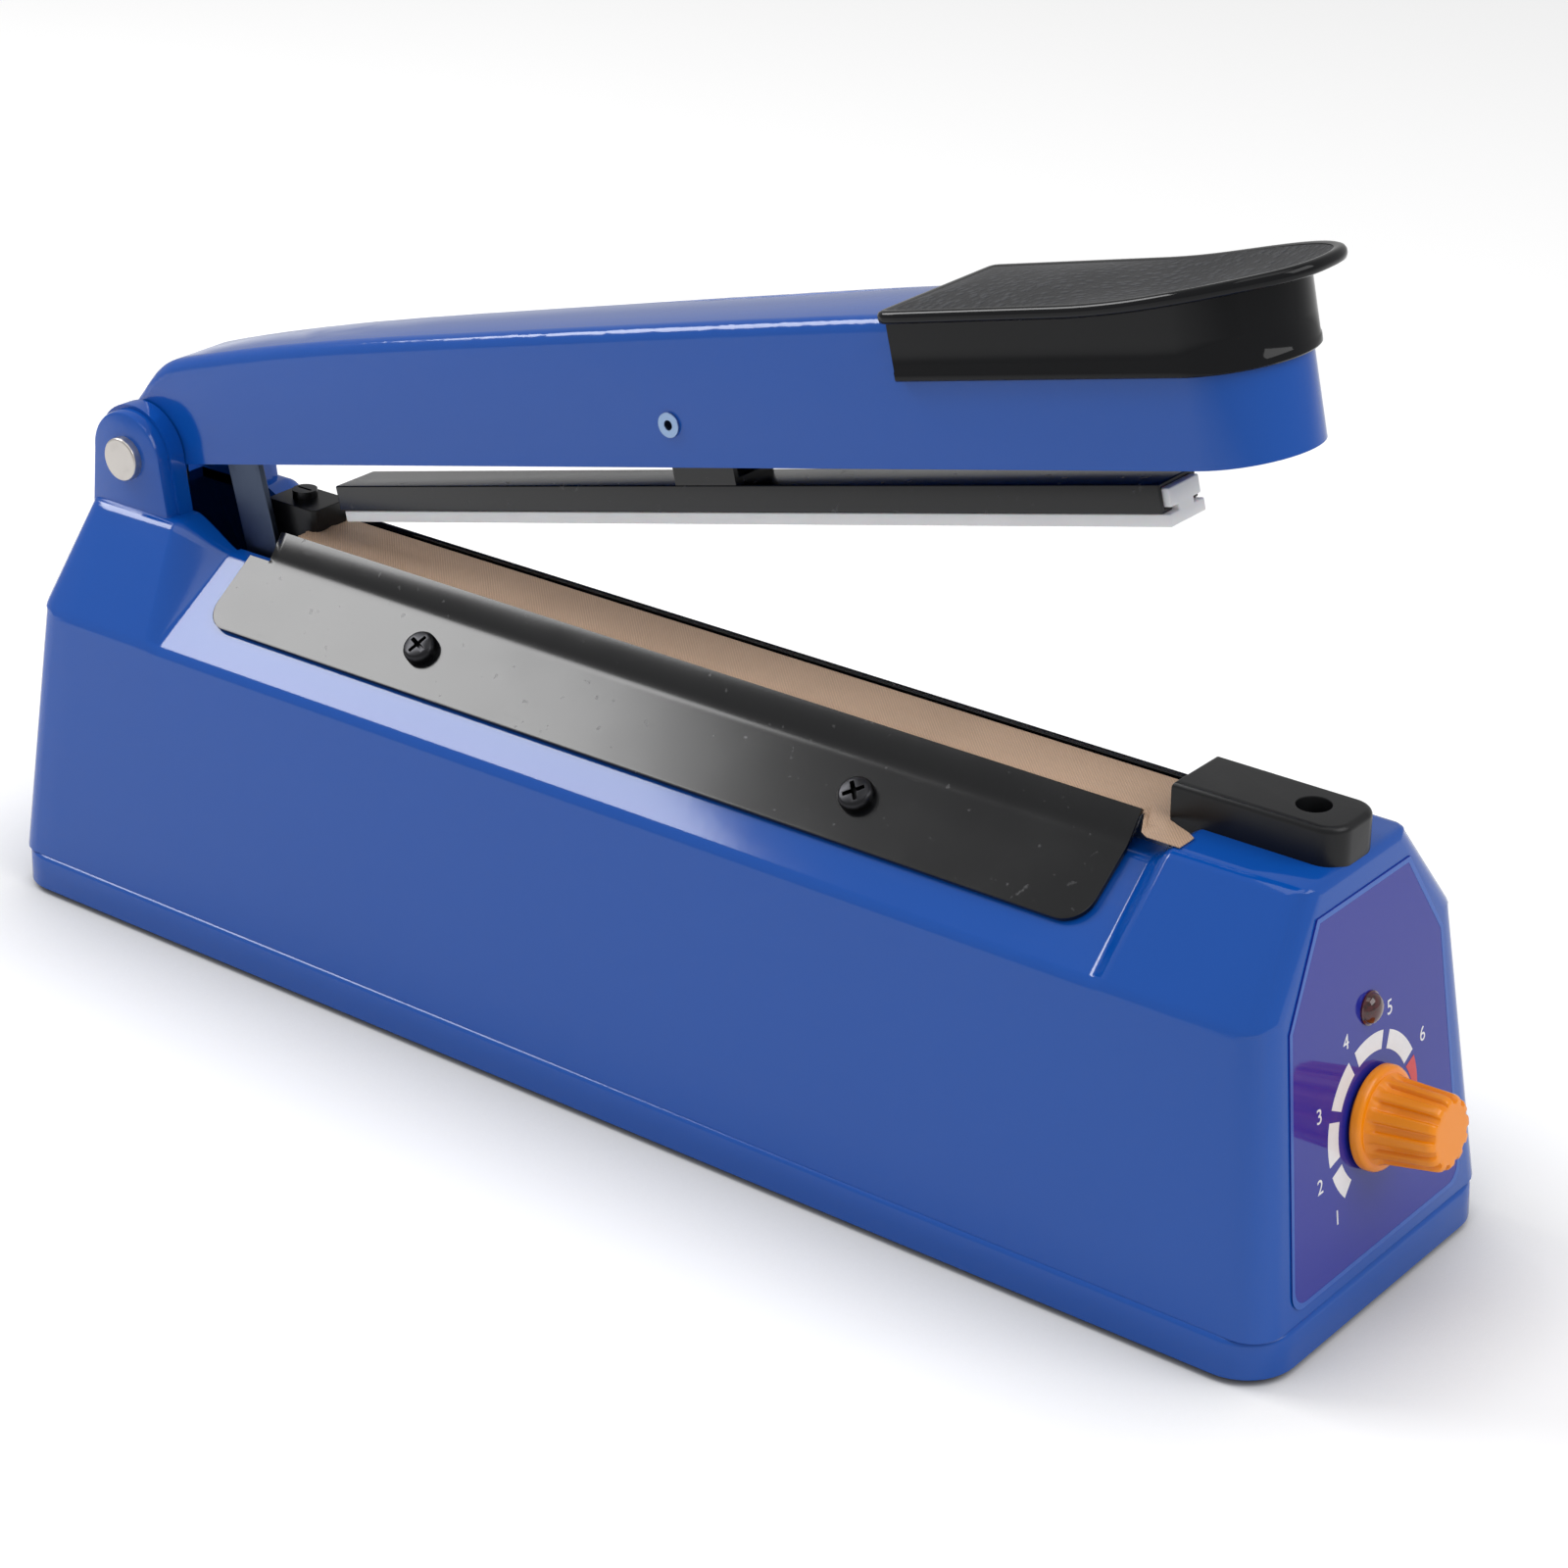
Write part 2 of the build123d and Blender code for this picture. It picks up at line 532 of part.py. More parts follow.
def hinge_pin():
    head = cylinder_y(PIN_HEAD_RADIUS, -EAR_OUTER - PIN_HEAD_THICKNESS, -EAR_OUTER, PIN_X, PIN_HEIGHT)
    head = fillet(head.edges().group_by(Axis.Y)[0], 0.5)
    shank = cylinder_y(PIN_RADIUS, -EAR_OUTER, EAR_OUTER + 2.4, PIN_X, PIN_HEIGHT)
    groove = cylinder_y(PIN_RADIUS + 1, EAR_OUTER + 0.2, EAR_OUTER + 0.2 + CLIP_THICKNESS, PIN_X, PIN_HEIGHT)
    groove -= cylinder_y(PIN_RADIUS - 0.6, EAR_OUTER, EAR_OUTER + 2, PIN_X, PIN_HEIGHT)
    return head + shank - groove


def pin_clip():
    y0 = EAR_OUTER + 0.2
    ring = cylinder_y(PIN_RADIUS + 2.2, y0, y0 + CLIP_THICKNESS, PIN_X, PIN_HEIGHT)
    ring -= cylinder_y(PIN_RADIUS - 0.6, y0 - 1, y0 + 2, PIN_X, PIN_HEIGHT)
    mouth = block(PIN_X - 1.6, PIN_X + 1.6, y0 - 1, y0 + 2, PIN_HEIGHT - 9, PIN_HEIGHT)
    return ring - mouth


def return_spring():
    """A torsion coil round the pin, one leg on the housing and one on the arm."""
    wire, turns, pitch, radius = SPRING_WIRE_R, SPRING_TURNS, SPRING_PITCH, SPRING_RADIUS
    coil = None
    for turn in range(turns):
        y = (turn - (turns - 1) / 2) * pitch
        ring = Pos(PIN_X, y, PIN_HEIGHT) * Rot(90, 0, 0) * Torus(radius, wire)
        coil = ring if coil is None else coil + ring
    for turn in range(turns - 1):
        y = (turn - (turns - 1) / 2) * pitch
        side = 1 if turn % 2 else -1
        coil += cylinder_y(wire * 0.9, y, y + pitch, PIN_X + side * radius, PIN_HEIGHT)
    y_end = (turns - 1) / 2 * pitch
    leg = Cylinder(wire, SPRING_LEG, align=(Align.CENTER, Align.CENTER, Align.MIN)) + Sphere(wire * 1.03)
    down = Pos(PIN_X - radius, y_end, PIN_HEIGHT) * Rot(180, 0, 0) * leg
    along = Pos(PIN_X, -y_end, PIN_HEIGHT) * Rot(0, 90 - ARM_OPEN_DEG, 0) * Pos(-radius, 0, 0) * leg
    return coil + down + along


def spring_post():
    """The cross pin in the arm that the spring's leg lifts."""
    half = arm_half_width(SPRING_POST_X - SPRING_POST_R) - ARM_WALL
    z = SPRING_RADIUS + SPRING_WIRE_R + SPRING_POST_R
    return cylinder_y(SPRING_POST_R, -half, half, SPRING_POST_X, z)


def arm_half_width(x):
    """Half the arm's width, from the pin to where the nose's round starts."""
    share = max(0.0, min(1.0, x / (ARM_LENGTH - NOSE_R)))
    return (ARM_REAR_WIDTH + share * (ARM_NOSE_WIDTH - ARM_REAR_WIDTH)) / 2


def arm_plan(inset, x_start, z0, z1, x_end=None):
    """The arm seen from above, tapered with a round nose, inset by a wall."""
    centre = ARM_LENGTH - NOSE_R
    rear, front, nose = arm_half_width(0) - inset, arm_half_width(centre) - inset, NOSE_R - inset
    if x_end is not None:
        front = arm_half_width(x_end) - inset
        outline = Polyline((x_start, -rear), (x_end, -front), (x_end, front), (x_start, rear), close=True)
    else:
        side = Polyline((centre, front), (0, rear), (x_start, rear), (x_start, -rear), (0, -rear),
                        (centre, -front))
        outline = side + ThreePointArc((centre, -front), (centre + nose, 0), (centre, front))
    return extrude(Pos(0, 0, z0) * make_face(outline), z1 - z0)


def arm_side(inset):
    """The arm seen from the side: straight below, gently crowned above, round behind."""
    reach = ARM_LENGTH + 5
    top = ARM_TOP_HEIGHT - inset
    rear_top = ARM_REAR_HEIGHT - inset
    radius = ARM_REAR_RADIUS - inset
    knee = 14.0
    low = -ARM_DROP if inset == 0 else -ARM_REAR_RADIUS - 20
    crown = Spline((knee, rear_top), (ARM_LENGTH * 0.37, rear_top + 0.74 * (top - rear_top)),
                   (ARM_LENGTH * 0.72, top), (reach, top), tangents=((1, 0.1), (1, 0)))
    back = Spline((-radius, 0), (-radius * 0.45 + 3, radius * 1.2), (knee, rear_top),
                  tangents=((0, 1), (1, 0.1)))
    if inset == 0:
        start = hypot(radius, 0)
        under_x = (start ** 2 - ARM_DROP ** 2) ** 0.5
        under = ThreePointArc((under_x, low), (0, -radius), (-radius, 0))
        rest = Polyline((reach, top), (reach, low), (under_x, low))
    else:
        under = Line((-radius, low), (-radius, 0))
        rest = Polyline((reach, top), (reach, low), (-radius, low))
    face = Plane.XZ * make_face(crown + back + under + rest)
    return extrude(face, ARM_NOSE_WIDTH, both=True)


def arm_shell():
    """The blue arm: a channel open below, with a rounded back and nose."""
    outer = arm_plan(0, -ARM_REAR_RADIUS - 1, -ARM_REAR_RADIUS - 1, ARM_TOP_HEIGHT + 1) & arm_side(0)
    crest = [e for e in outer.edges() if e.center().Z > ARM_REAR_HEIGHT - 6 and abs(e.center().Y) > 3
             or e.center().X > ARM_LENGTH - NOSE_R and e.center().Z > ARM_TOP_HEIGHT - 1]
    outer = fillet(crest, ARM_EDGE_R)
    hollow = arm_plan(ARM_WALL, -ARM_REAR_RADIUS + ARM_WALL, -40, ARM_TOP_HEIGHT + 1) & arm_side(ARM_WALL)
    shell = outer - hollow
    shell -= cylinder_y(PIN_RADIUS + PIN_CLEARANCE, -40, 40, 0, 0)
    shell -= cylinder_y(RIVET_RADIUS, -40, 40, RIVET_X, RIVET_Z)
    return shell


def cap_lip_plan(grow, z0, z1):
    """The handle cap's lip seen from above, with its pointed-round front."""
    rear = ARM_LENGTH - CAP_LENGTH
    centre = ARM_LENGTH - NOSE_R
    half = NOSE_R + CAP_WALL + CAP_LIP_OVERHANG + grow
    tip = ARM_LENGTH + CAP_TIP_OVERHANG + grow
    outline = Polyline((centre, half), (rear, half), (rear, -half), (centre, -half)) + Spline(
        (centre, -half), (centre + 0.72 * (tip - centre), -half * 0.7), (tip, 0),
        (centre + 0.72 * (tip - centre), half * 0.7), (centre, half), tangents=((1, 0), (-1, 0)))
    return extrude(Pos(0, 0, z0) * make_face(outline), z1 - z0)


def handle_cap():
    """The black moulded cap: a skirt round the nose and a palm pad with a lip."""
    rear = ARM_LENGTH - CAP_LENGTH
    skirt = arm_plan(-CAP_WALL, rear, CAP_SKIRT_BOTTOM, CAP_LIP_HEIGHT)
    skirt &= block(rear, ARM_LENGTH + 30, -60, 60, 0, 60)
    half = NOSE_R + CAP_WALL + CAP_LIP_OVERHANG
    tip = ARM_LENGTH + CAP_TIP_OVERHANG
    low = CAP_LIP_HEIGHT - CAP_LIP_THICKNESS
    under = Spline((rear - 1, low), (rear + 0.5 * CAP_LENGTH, low + 0.3), (tip + 1, low + CAP_TIP_RISE),
                   tangents=((1, 0), (1, 0.12)))
    over = Spline((tip + 1, CAP_LIP_HEIGHT + CAP_TIP_RISE), (rear + 0.62 * CAP_LENGTH, CAP_LIP_HEIGHT + 0.9),
                  (rear + 0.25 * CAP_LENGTH, CAP_LIP_HEIGHT + 1.3), (rear - 1, CAP_LIP_HEIGHT))
    sides = Line(under @ 1, over @ 0) + Line(over @ 1, under @ 0)
    profile = extrude(Plane.XZ * make_face(under + over + sides), half + 5, both=True)
    pad = cap_lip_plan(0, low - 2, CAP_LIP_HEIGHT + CAP_TIP_RISE + 6) & profile
    cap = skirt + pad
    return cap - (arm_plan(0, rear - 1, -20, ARM_TOP_HEIGHT + 1) & arm_side(0))


def bar_rivet():
    """The tubular rivet that the pressure bar rocks on."""
    half = arm_half_width(RIVET_X + RIVET_HEAD_RADIUS)
    body = cylinder_y(RIVET_RADIUS, -half, half, RIVET_X, RIVET_Z)
    for side in (-1, 1):
        y0, y1 = sorted((side * half, side * (half + 0.6)))
        body += cylinder_y(RIVET_HEAD_RADIUS, y0, y1, RIVET_X, RIVET_Z)
    return body - cylinder_y(RIVET_RADIUS * 0.5, -half - 2, half + 2, RIVET_X, RIVET_Z)


def switch_strut():
    """The flat steel strut inside the arm's near wall, down through the slot."""
    y0 = STRUT_SIDE
    strut = block(STRUT_X - STRUT_WIDTH / 2, STRUT_X + STRUT_WIDTH / 2, y0, y0 + STRUT_SHEET,
                  -STRUT_DEPTH, STRUT_TOP)
    strut = fillet(strut.edges().filter_by(Axis.Y), 1.2)
    return strut - cylinder_y(1.2, -20, 20, STRUT_X, STRUT_TOP / 2)


def strut_rivet():
    y0 = STRUT_SIDE
    body = cylinder_y(1.2, y0, y0 + STRUT_SHEET, STRUT_X, STRUT_TOP / 2)
    return body + cylinder_y(2.2, y0 + STRUT_SHEET, y0 + STRUT_SHEET + 0.8, STRUT_X, STRUT_TOP / 2)


def pressure_bar():
    """The black steel channel under the arm."""
    half = BAR_WIDTH / 2
    top = -BAR_BELOW_RIVET + BAR_HEIGHT
    bar = block(-BAR_REACH_BACK, BAR_REACH_FRONT, -half, half, -BAR_BELOW_RIVET, top)
    upper = bar.edges().filter_by(Axis.X).group_by(Axis.Z)[-1]
    bar = fillet(upper, 0.9)
    groove = block(-BAR_REACH_BACK - 1, BAR_REACH_FRONT + 1, -half + BAR_WALL, half - BAR_WALL,
                   -BAR_BELOW_RIVET + BAR_WALL, top - BAR_WALL)
    mouth = block(-BAR_REACH_BACK - 1, BAR_REACH_FRONT + 1, -STRIP_NECK / 2, STRIP_NECK / 2,
                  -BAR_BELOW_RIVET - 1, top - BAR_WALL)
    return bar - groove - mouth


def bar_hanger():
    """The bracket on the channel that hangs from the rivet."""
    half = BAR_WIDTH / 2
    low = -BAR_BELOW_RIVET + BAR_HEIGHT
    base = block(-HANGER_LENGTH / 2, HANGER_LENGTH / 2, -half, half, low, low + HANGER_SHEET)
    for side in (-1, 1):
        y0, y1 = sorted((side * half, side * (half - HANGER_SHEET)))
        base += block(-HANGER_LENGTH / 2, HANGER_LENGTH / 2, y0, y1, low, 0)
        base += cylinder_y(HANGER_LENGTH / 2, y0, y1, 0, 0) & block(-20, 20, y0, y1, -1, 4.5)
    return base - cylinder_y(RIVET_RADIUS + PIN_CLEARANCE, -20, 20, 0, 0)


def silicone_strip():
    """The pale rubber strip: a tee held in the channel, with a flat foot."""
    inner = BAR_WIDTH / 2 - BAR_WALL
    head_top = -BAR_BELOW_RIVET + BAR_HEIGHT - BAR_WALL
    neck = STRIP_NECK / 2
    head_low = -BAR_BELOW_RIVET + BAR_WALL
    foot = -BAR_BELOW_RIVET - STRIP_PROUD
    outline = []
    for side in (-1, 1):
        half = [(side * inner, head_top), (side * inner, head_low), (side * neck, head_low),
                (side * neck, -BAR_BELOW_RIVET), (side * STRIP_WIDTH / 2, -BAR_BELOW_RIVET),
                (side * STRIP_WIDTH / 2, foot)]
        outline += half if side < 0 else half[::-1]
    return prism_x(outline, -BAR_REACH_BACK + 1, BAR_REACH_FRONT + STRIP_END_PROUD)


# ---------------------------------------------------------------- timer end

def label_outline(inset):
    """The end face's outline, (across, up the face from the knob), inset evenly."""
    rise = 1 / cos(radians(END_DRAFT_DEG))
    up = lambda z: (z - KNOB_HEIGHT) * rise
    width_at = lambda z: FOOT_Y0 - (z - PLINTH_HEIGHT) * tan(radians(SIDE_DRAFT_DEG))
    low = LABEL_BOTTOM
    kink = SHOULDER_HEIGHT - 1.5
    side_low = width_at(low) - PLINTH_CORNER_R + 0.8 - inset
    side_kink = SHOULDER_Y - SHOULDER_CORNER_R + 1.2 - inset
    top = TOWER_HEIGHT - LABEL_BORDER - inset
    side_top = TOWER_TOP_WIDTH / 2 - TOWER_EDGE_R / 2 + 1.6 - inset
    half = [(side_low, up(low)), (side_kink, up(kink)), (side_top, up(top))]
    return half + [(-a, b) for a, b in reversed(half)]


def panel_label():
    """The thin glossy panel on the timer end."""
    plane = end_plane(KNOB_HEIGHT)
    outline = label_outline(0)
    face = make_face(Polyline(*outline, close=True))
    face = fillet(face.vertices().sort_by(Axis.Y)[:2], LABEL_CORNER_R)
    face -= Circle(BUSH_RADIUS + 0.1)
    rise = (LAMP_HEIGHT - KNOB_HEIGHT) / cos(radians(END_DRAFT_DEG))
    face -= Pos(0, rise) * Circle(LAMP_RADIUS + 0.05)
    return extrude(plane * face, LABEL_THICKNESS)


def indicator_lamp():
    """The dark red lens: a rod through the wall with a domed end."""
    place = end_plane(LAMP_HEIGHT).location
    straight = LAMP_PROUD * 0.35
    rod = Pos(0, 0, -8) * Cylinder(LAMP_RADIUS, 8 + straight, align=(Align.CENTER, Align.CENTER, Align.MIN))
    dome = Pos(0, 0, straight) * Sphere(LAMP_RADIUS) & Pos(0, 0, straight) * Cylinder(
        LAMP_RADIUS, 2 * LAMP_RADIUS, align=(Align.CENTER, Align.CENTER, Align.MIN))
    collar = Pos(0, 0, -HOUSING_WALL - 1.6) * Cylinder(
        LAMP_RADIUS + 1, 1.6, align=(Align.CENTER, Align.CENTER, Align.MIN))
    return place * (rod + dome + collar)


def potentiometer():
    """The timer's potentiometer behind the end wall, with its threaded bush."""
    place = end_plane(KNOB_HEIGHT).location
    back = -HOUSING_WALL / cos(radians(END_DRAFT_DEG)) - 0.2
    low = (Align.CENTER, Align.CENTER, Align.MIN)
    can = Pos(0, 0, back - POT_LENGTH) * Cylinder(POT_RADIUS, POT_LENGTH, align=low)
    bush = Pos(0, 0, back) * Cylinder(BUSH_RADIUS, -back, align=low)
    bore = Pos(0, 0, back - SHAFT_INSIDE + 4) * Cylinder(SHAFT_RADIUS + PIN_CLEARANCE, 30, align=low)
    return place * (can + bush - bore)


def potentiometer_shaft():
    place = end_plane(KNOB_HEIGHT).location
    back = -HOUSING_WALL / cos(radians(END_DRAFT_DEG)) - SHAFT_INSIDE + 4.3
    front = LABEL_THICKNESS + KNOB_GAP + KNOB_LENGTH - 3
    return place * Pos(0, 0, back) * Cylinder(
        SHAFT_RADIUS, front - back, align=(Align.CENTER, Align.CENTER, Align.MIN))


def timer_knob():
    """The orange knob: a flange and a tapered, fluted barrel."""
    place = end_plane(KNOB_HEIGHT).location
    start = LABEL_THICKNESS + KNOB_GAP
    low = (Align.CENTER, Align.CENTER, Align.MIN)
    flange = Cylinder(KNOB_FLANGE_R, KNOB_FLANGE_THICKNESS, align=low)
    flange = fillet(flange.edges().group_by(Axis.Z)[-1], 0.8)
    rise = KNOB_LENGTH - KNOB_FLANGE_THICKNESS
    barrel = Pos(0, 0, KNOB_FLANGE_THICKNESS) * Cone(KNOB_BARREL_R, KNOB_TIP_R, rise, align=low)
    barrel = chamfer(barrel.edges().group_by(Axis.Z)[-1], 0.9)
    lean = degrees(atan2(KNOB_BARREL_R - KNOB_TIP_R, rise))
    for index in range(KNOB_FLUTES):
        turn = index * 360 / KNOB_FLUTES
        flute = Pos(KNOB_BARREL_R + 0.75, 0, KNOB_FLANGE_THICKNESS + 1.2) * Rot(0, -lean, 0) * Cylinder(
            KNOB_FLUTE_R, rise + 4, align=low)
        barrel -= Rot(0, 0, turn) * flute
    knob = flange + barrel
    knob -= Pos(0, 0, -1) * Cylinder(SHAFT_RADIUS, KNOB_LENGTH - 2, align=low)
    return place * Pos(0, 0, start) * knob


# ---------------------------------------------------------------- inside the base

SWITCH_X = PIN_X + 29.3
SWITCH_TOP = 57.2
SWITCH_LENGTH = 28.0
SWITCH_WIDTH = 10.3
SWITCH_BODY_HEIGHT = 16.0
PLUNGER_WIDTH = 3.0
PLUNGER_PROUD = 2.0
CORE_LENGTH = 66.0
CORE_HEIGHT = 50.0
CORE_STACK = 26.0
CORE_LIMB = 11.0
COIL_ROOM = 0.6


def strut_middle():
    return STRUT_SIDE + STRUT_SHEET / 2


def microswitch():
    y = strut_middle()
    body = block(SWITCH_X - SWITCH_LENGTH / 2, SWITCH_X + SWITCH_LENGTH / 2, y - SWITCH_WIDTH / 2,
                 y + SWITCH_WIDTH / 2, SWITCH_TOP - SWITCH_BODY_HEIGHT, SWITCH_TOP)
    body = chamfer(body.edges().filter_by(Axis.Y), 0.8)
    well = PLUNGER_WIDTH / 2 + PIN_CLEARANCE
    body -= block(SWITCH_X - well, SWITCH_X + well, y - well, y + well,
                  SWITCH_TOP - PLUNGER_TRAVEL - 3.2, SWITCH_TOP + 1)
    for dx in (-11, 11):
        body -= cylinder_y(1.6, y - 9, y + 9, SWITCH_X + dx, SWITCH_TOP - 12)
    for dx in (-8, 0, 8):
        body += block(SWITCH_X + dx - 1.5, SWITCH_X + dx + 1.5, y - 0.4, y + 0.4,
                      SWITCH_TOP - SWITCH_BODY_HEIGHT - 6, SWITCH_TOP - SWITCH_BODY_HEIGHT)
    return body


def switch_plunger():
    y = strut_middle()
    half = PLUNGER_WIDTH / 2
    pin = block(SWITCH_X - half, SWITCH_X + half, y - half, y + half, SWITCH_TOP - 3, SWITCH_TOP + PLUNGER_PROUD)
    return fillet(pin.edges().group_by(Axis.Z)[-1], 0.5)


def switch_bracket():
    """The bent steel plate that carries the switch, standing on the tray."""
    y0 = strut_middle() + SWITCH_WIDTH / 2
    plate = block(SWITCH_X - 15, SWITCH_X + 15, y0, y0 + 1.5, TRAY_FLOOR, SWITCH_TOP - 4)
    plate += block(SWITCH_X - 15, SWITCH_X + 15, y0, y0 + 18, TRAY_FLOOR, TRAY_FLOOR + 1.5)
    for dx in (-11, 11):
        plate -= cylinder_y(1.6, y0 - 1, y0 + 3, SWITCH_X + dx, SWITCH_TOP - 12)
    return plate


def switch_screw(dx):
    y = strut_middle()
    near = y - SWITCH_WIDTH / 2
    head = cylinder_y(2.8, near - 1.6, near, SWITCH_X + dx, SWITCH_TOP - 12)
    return head + cylinder_y(1.6, near, y + SWITCH_WIDTH / 2 + 1.5, SWITCH_X + dx, SWITCH_TOP - 12)


def transformer_core():
    low = TRAY_FLOOR + 1.5
    half = CORE_STACK / 2
    core = block(-CORE_LENGTH / 2, CORE_LENGTH / 2, -half, half, low, low + CORE_HEIGHT)
    for side in (-1, 1):
        x0, x1 = sorted((side * CORE_LIMB, side * (CORE_LENGTH / 2 - CORE_LIMB)))
        core -= block(x0, x1, -half - 1, half + 1, low + CORE_LIMB, low + CORE_HEIGHT - CORE_LIMB)
    return core


def transformer_coil():
    low = TRAY_FLOOR + 1.5 + CORE_LIMB
    reach = CORE_LENGTH / 2 - CORE_LIMB - COIL_ROOM
    z0, z1 = low, low + CORE_HEIGHT - 2 * CORE_LIMB
    out = CORE_STACK / 2 + 9
    coil = block(-reach, reach, -out, out, z0, z1)
    coil = fillet(coil.edges().filter_by(Axis.Z), 4)
    return coil - block(-CORE_LIMB, CORE_LIMB, -CORE_STACK / 2, CORE_STACK / 2, z0 - 1, z1 + 1)


def transformer_bracket():
    """The strap over the core with a foot at each end, on the tray."""
    low, t = TRAY_FLOOR, 1.5
    top = low + t + CORE_HEIGHT
    x = CORE_LENGTH / 2
    strap = block(-x - t, x + t, -9, 9, top, top + t)
    for side in (-1, 1):
        x0, x1 = sorted((side * x, side * (x + t)))
        strap += block(x0, x1, -9, 9, low, top)
        x0, x1 = sorted((side * x, side * (x + 13)))
        foot = block(x0, x1, -9, 9, low, low + t)
        strap += foot - cylinder_z(2, low - 1, low + 3, side * (x + 8), 0)
    return strap + block(-x, x, -9, 9, low, low + t)


def circuit_board():
    """The timer's board, standing behind the potentiometer."""
    place = end_plane(KNOB_HEIGHT).location
    back = -HOUSING_WALL / cos(radians(END_DRAFT_DEG)) - 0.2 - POT_LENGTH
    board = Pos(0, -2, back - 0.8) * Box(44, 36, 1.6)
    return place * board


def board_parts():
    """The tall parts on the board's back: relay, capacitor and triac."""
    place = end_plane(KNOB_HEIGHT).location
    back = -HOUSING_WALL / cos(radians(END_DRAFT_DEG)) - 0.2 - POT_LENGTH - 1.6
    high = (Align.CENTER, Align.CENTER, Align.MAX)
    parts = Pos(-9, 3, back) * Box(19, 15, 15, align=high)
    parts += Pos(11, 6, back) * Cylinder(5, 12, align=high)
    parts += Pos(11, -10, back) * Box(10, 4.5, 14, align=high)
    return [place * piece for piece in parts.solids()]


def terminal_block():
    x0 = -HALF_LENGTH + 70
    body = block(x0, x0 + 14, 14, 34, TRAY_FLOOR, TRAY_FLOOR + 16)
    for y in (19, 29):
        body -= cylinder_z(2.2, TRAY_FLOOR + 9, TRAY_FLOOR + 17, x0 + 7, y)
        body -= Pos(x0 + 7, y, TRAY_FLOOR + 6) * Rot(0, 90, 0) * Cylinder(1.4, 20)
    return body


def cord_inlet():
    """The rubber grommet in the hinge end's wall, with a bore for a lead."""
    low = (Align.CENTER, Align.CENTER, Align.MIN)
    body = Cylinder(GROMMET_FLANGE_R, GROMMET_FLANGE, align=low)
    body += Pos(0, 0, -HOUSING_WALL) * Cylinder(GROMMET_RADIUS, HOUSING_WALL, align=low)
    body += Pos(0, 0, -HOUSING_WALL - GROMMET_FLANGE) * Cylinder(GROMMET_FLANGE_R, GROMMET_FLANGE, align=low)
    return inlet_place() * (body - Cylinder(INLET_RADIUS, 30))


def wire(points, radii):
    """A round insulated wire along straight runs joined by arcs."""
    path = FilletPolyline(*points, radius=radii)
    start = Plane(origin=path @ 0, z_dir=path % 0)
    return sweep(start * Circle(WIRE_RADIUS), path=path)


def inside_wires():
    """Insulated wires: inlet to terminals, terminals to coil, coil to board."""
    x0, x1 = -HALF_LENGTH + 70, -HALF_LENGTH + 84
    z = TRAY_FLOOR + 6
    reach = CORE_LENGTH / 2 - CORE_LIMB - COIL_ROOM
    coil_y, coil_z = CORE_STACK / 2 + 3, TRAY_FLOOR + 20
    wires = []
    for side, y in ((-1, 19), (1, 29)):
        start = (-FOOT_X0 + WIRE_INSET, side * 1.6, INLET_HEIGHT)
        wires.append(wire([start, (start[0] + 9, side * 1.6, INLET_HEIGHT), (start[0] + 36, y, z),
                           (x0, y, z)], [12, 12]))
    wires.append(wire([(x1, 19, z), (x1 + 18, 19, z), (-reach - 16, coil_y, coil_z),
                       (-reach, coil_y, coil_z)], [12, 8]))
    back = -HOUSING_WALL / cos(radians(END_DRAFT_DEG)) - 0.2 - POT_LENGTH - 1.6
    plane = end_plane(KNOB_HEIGHT)
    end = plane.from_local_coords((16, -4, back))
    before = plane.from_local_coords((16, -4, back - 22))
    wires.append(wire([(reach, coil_y, coil_z), (reach + 30, coil_y, coil_z), before, end], [14, 12]))
    return wires


PIECES = {
    "base_housing": base_housing,
    "base_deck": base_deck,
    "bottom_cover": bottom_cover,
    "sealing_bed": sealing_bed,
    "insulation_strip": insulation_strip,
    "heating_element": heating_element,
    "ptfe_cloth": ptfe_cloth,
    "clamp_plate_near": lambda: clamp_plate(-1),
    "clamp_plate_far": lambda: clamp_plate(1),
    "rear_element_block": rear_block,
    "rear_block_screw": rear_block_screw,
    "end_cap": end_cap,
    "end_cap_screw": end_cap_screw,
    "hinge_pin": hinge_pin,
    "pin_clip": pin_clip,
    "return_spring": return_spring,
    "spring_post": spring_post,
    "arm_shell": arm_shell,
    "handle_cap": handle_cap,
    "bar_rivet": bar_rivet,
    "switch_strut": switch_strut,
    "strut_rivet": strut_rivet,
    "pressure_bar": pressure_bar,
    "bar_hanger": bar_hanger,
    "silicone_strip": silicone_strip,
    "panel_label": panel_label,
    "indicator_lamp": indicator_lamp,
    "potentiometer": potentiometer,
    "potentiometer_shaft": potentiometer_shaft,
    "timer_knob": timer_knob,
    "microswitch": microswitch,
    "switch_plunger": switch_plunger,
    "switch_bracket": switch_bracket,
    "transformer_core": transformer_core,
    "transformer_coil": transformer_coil,
    "transformer_bracket": transformer_bracket,
    "circuit_board": circuit_board,
    "terminal_block": terminal_block,
    "cord_inlet": cord_inlet,
}


def in_arm(name):
    return name in ("spring_post", "arm_shell", "handle_cap", "bar_rivet", "switch_strut", "strut_rivet")


def in_bar(name):
    return name in ("pressure_bar", "bar_hanger", "silicone_strip")


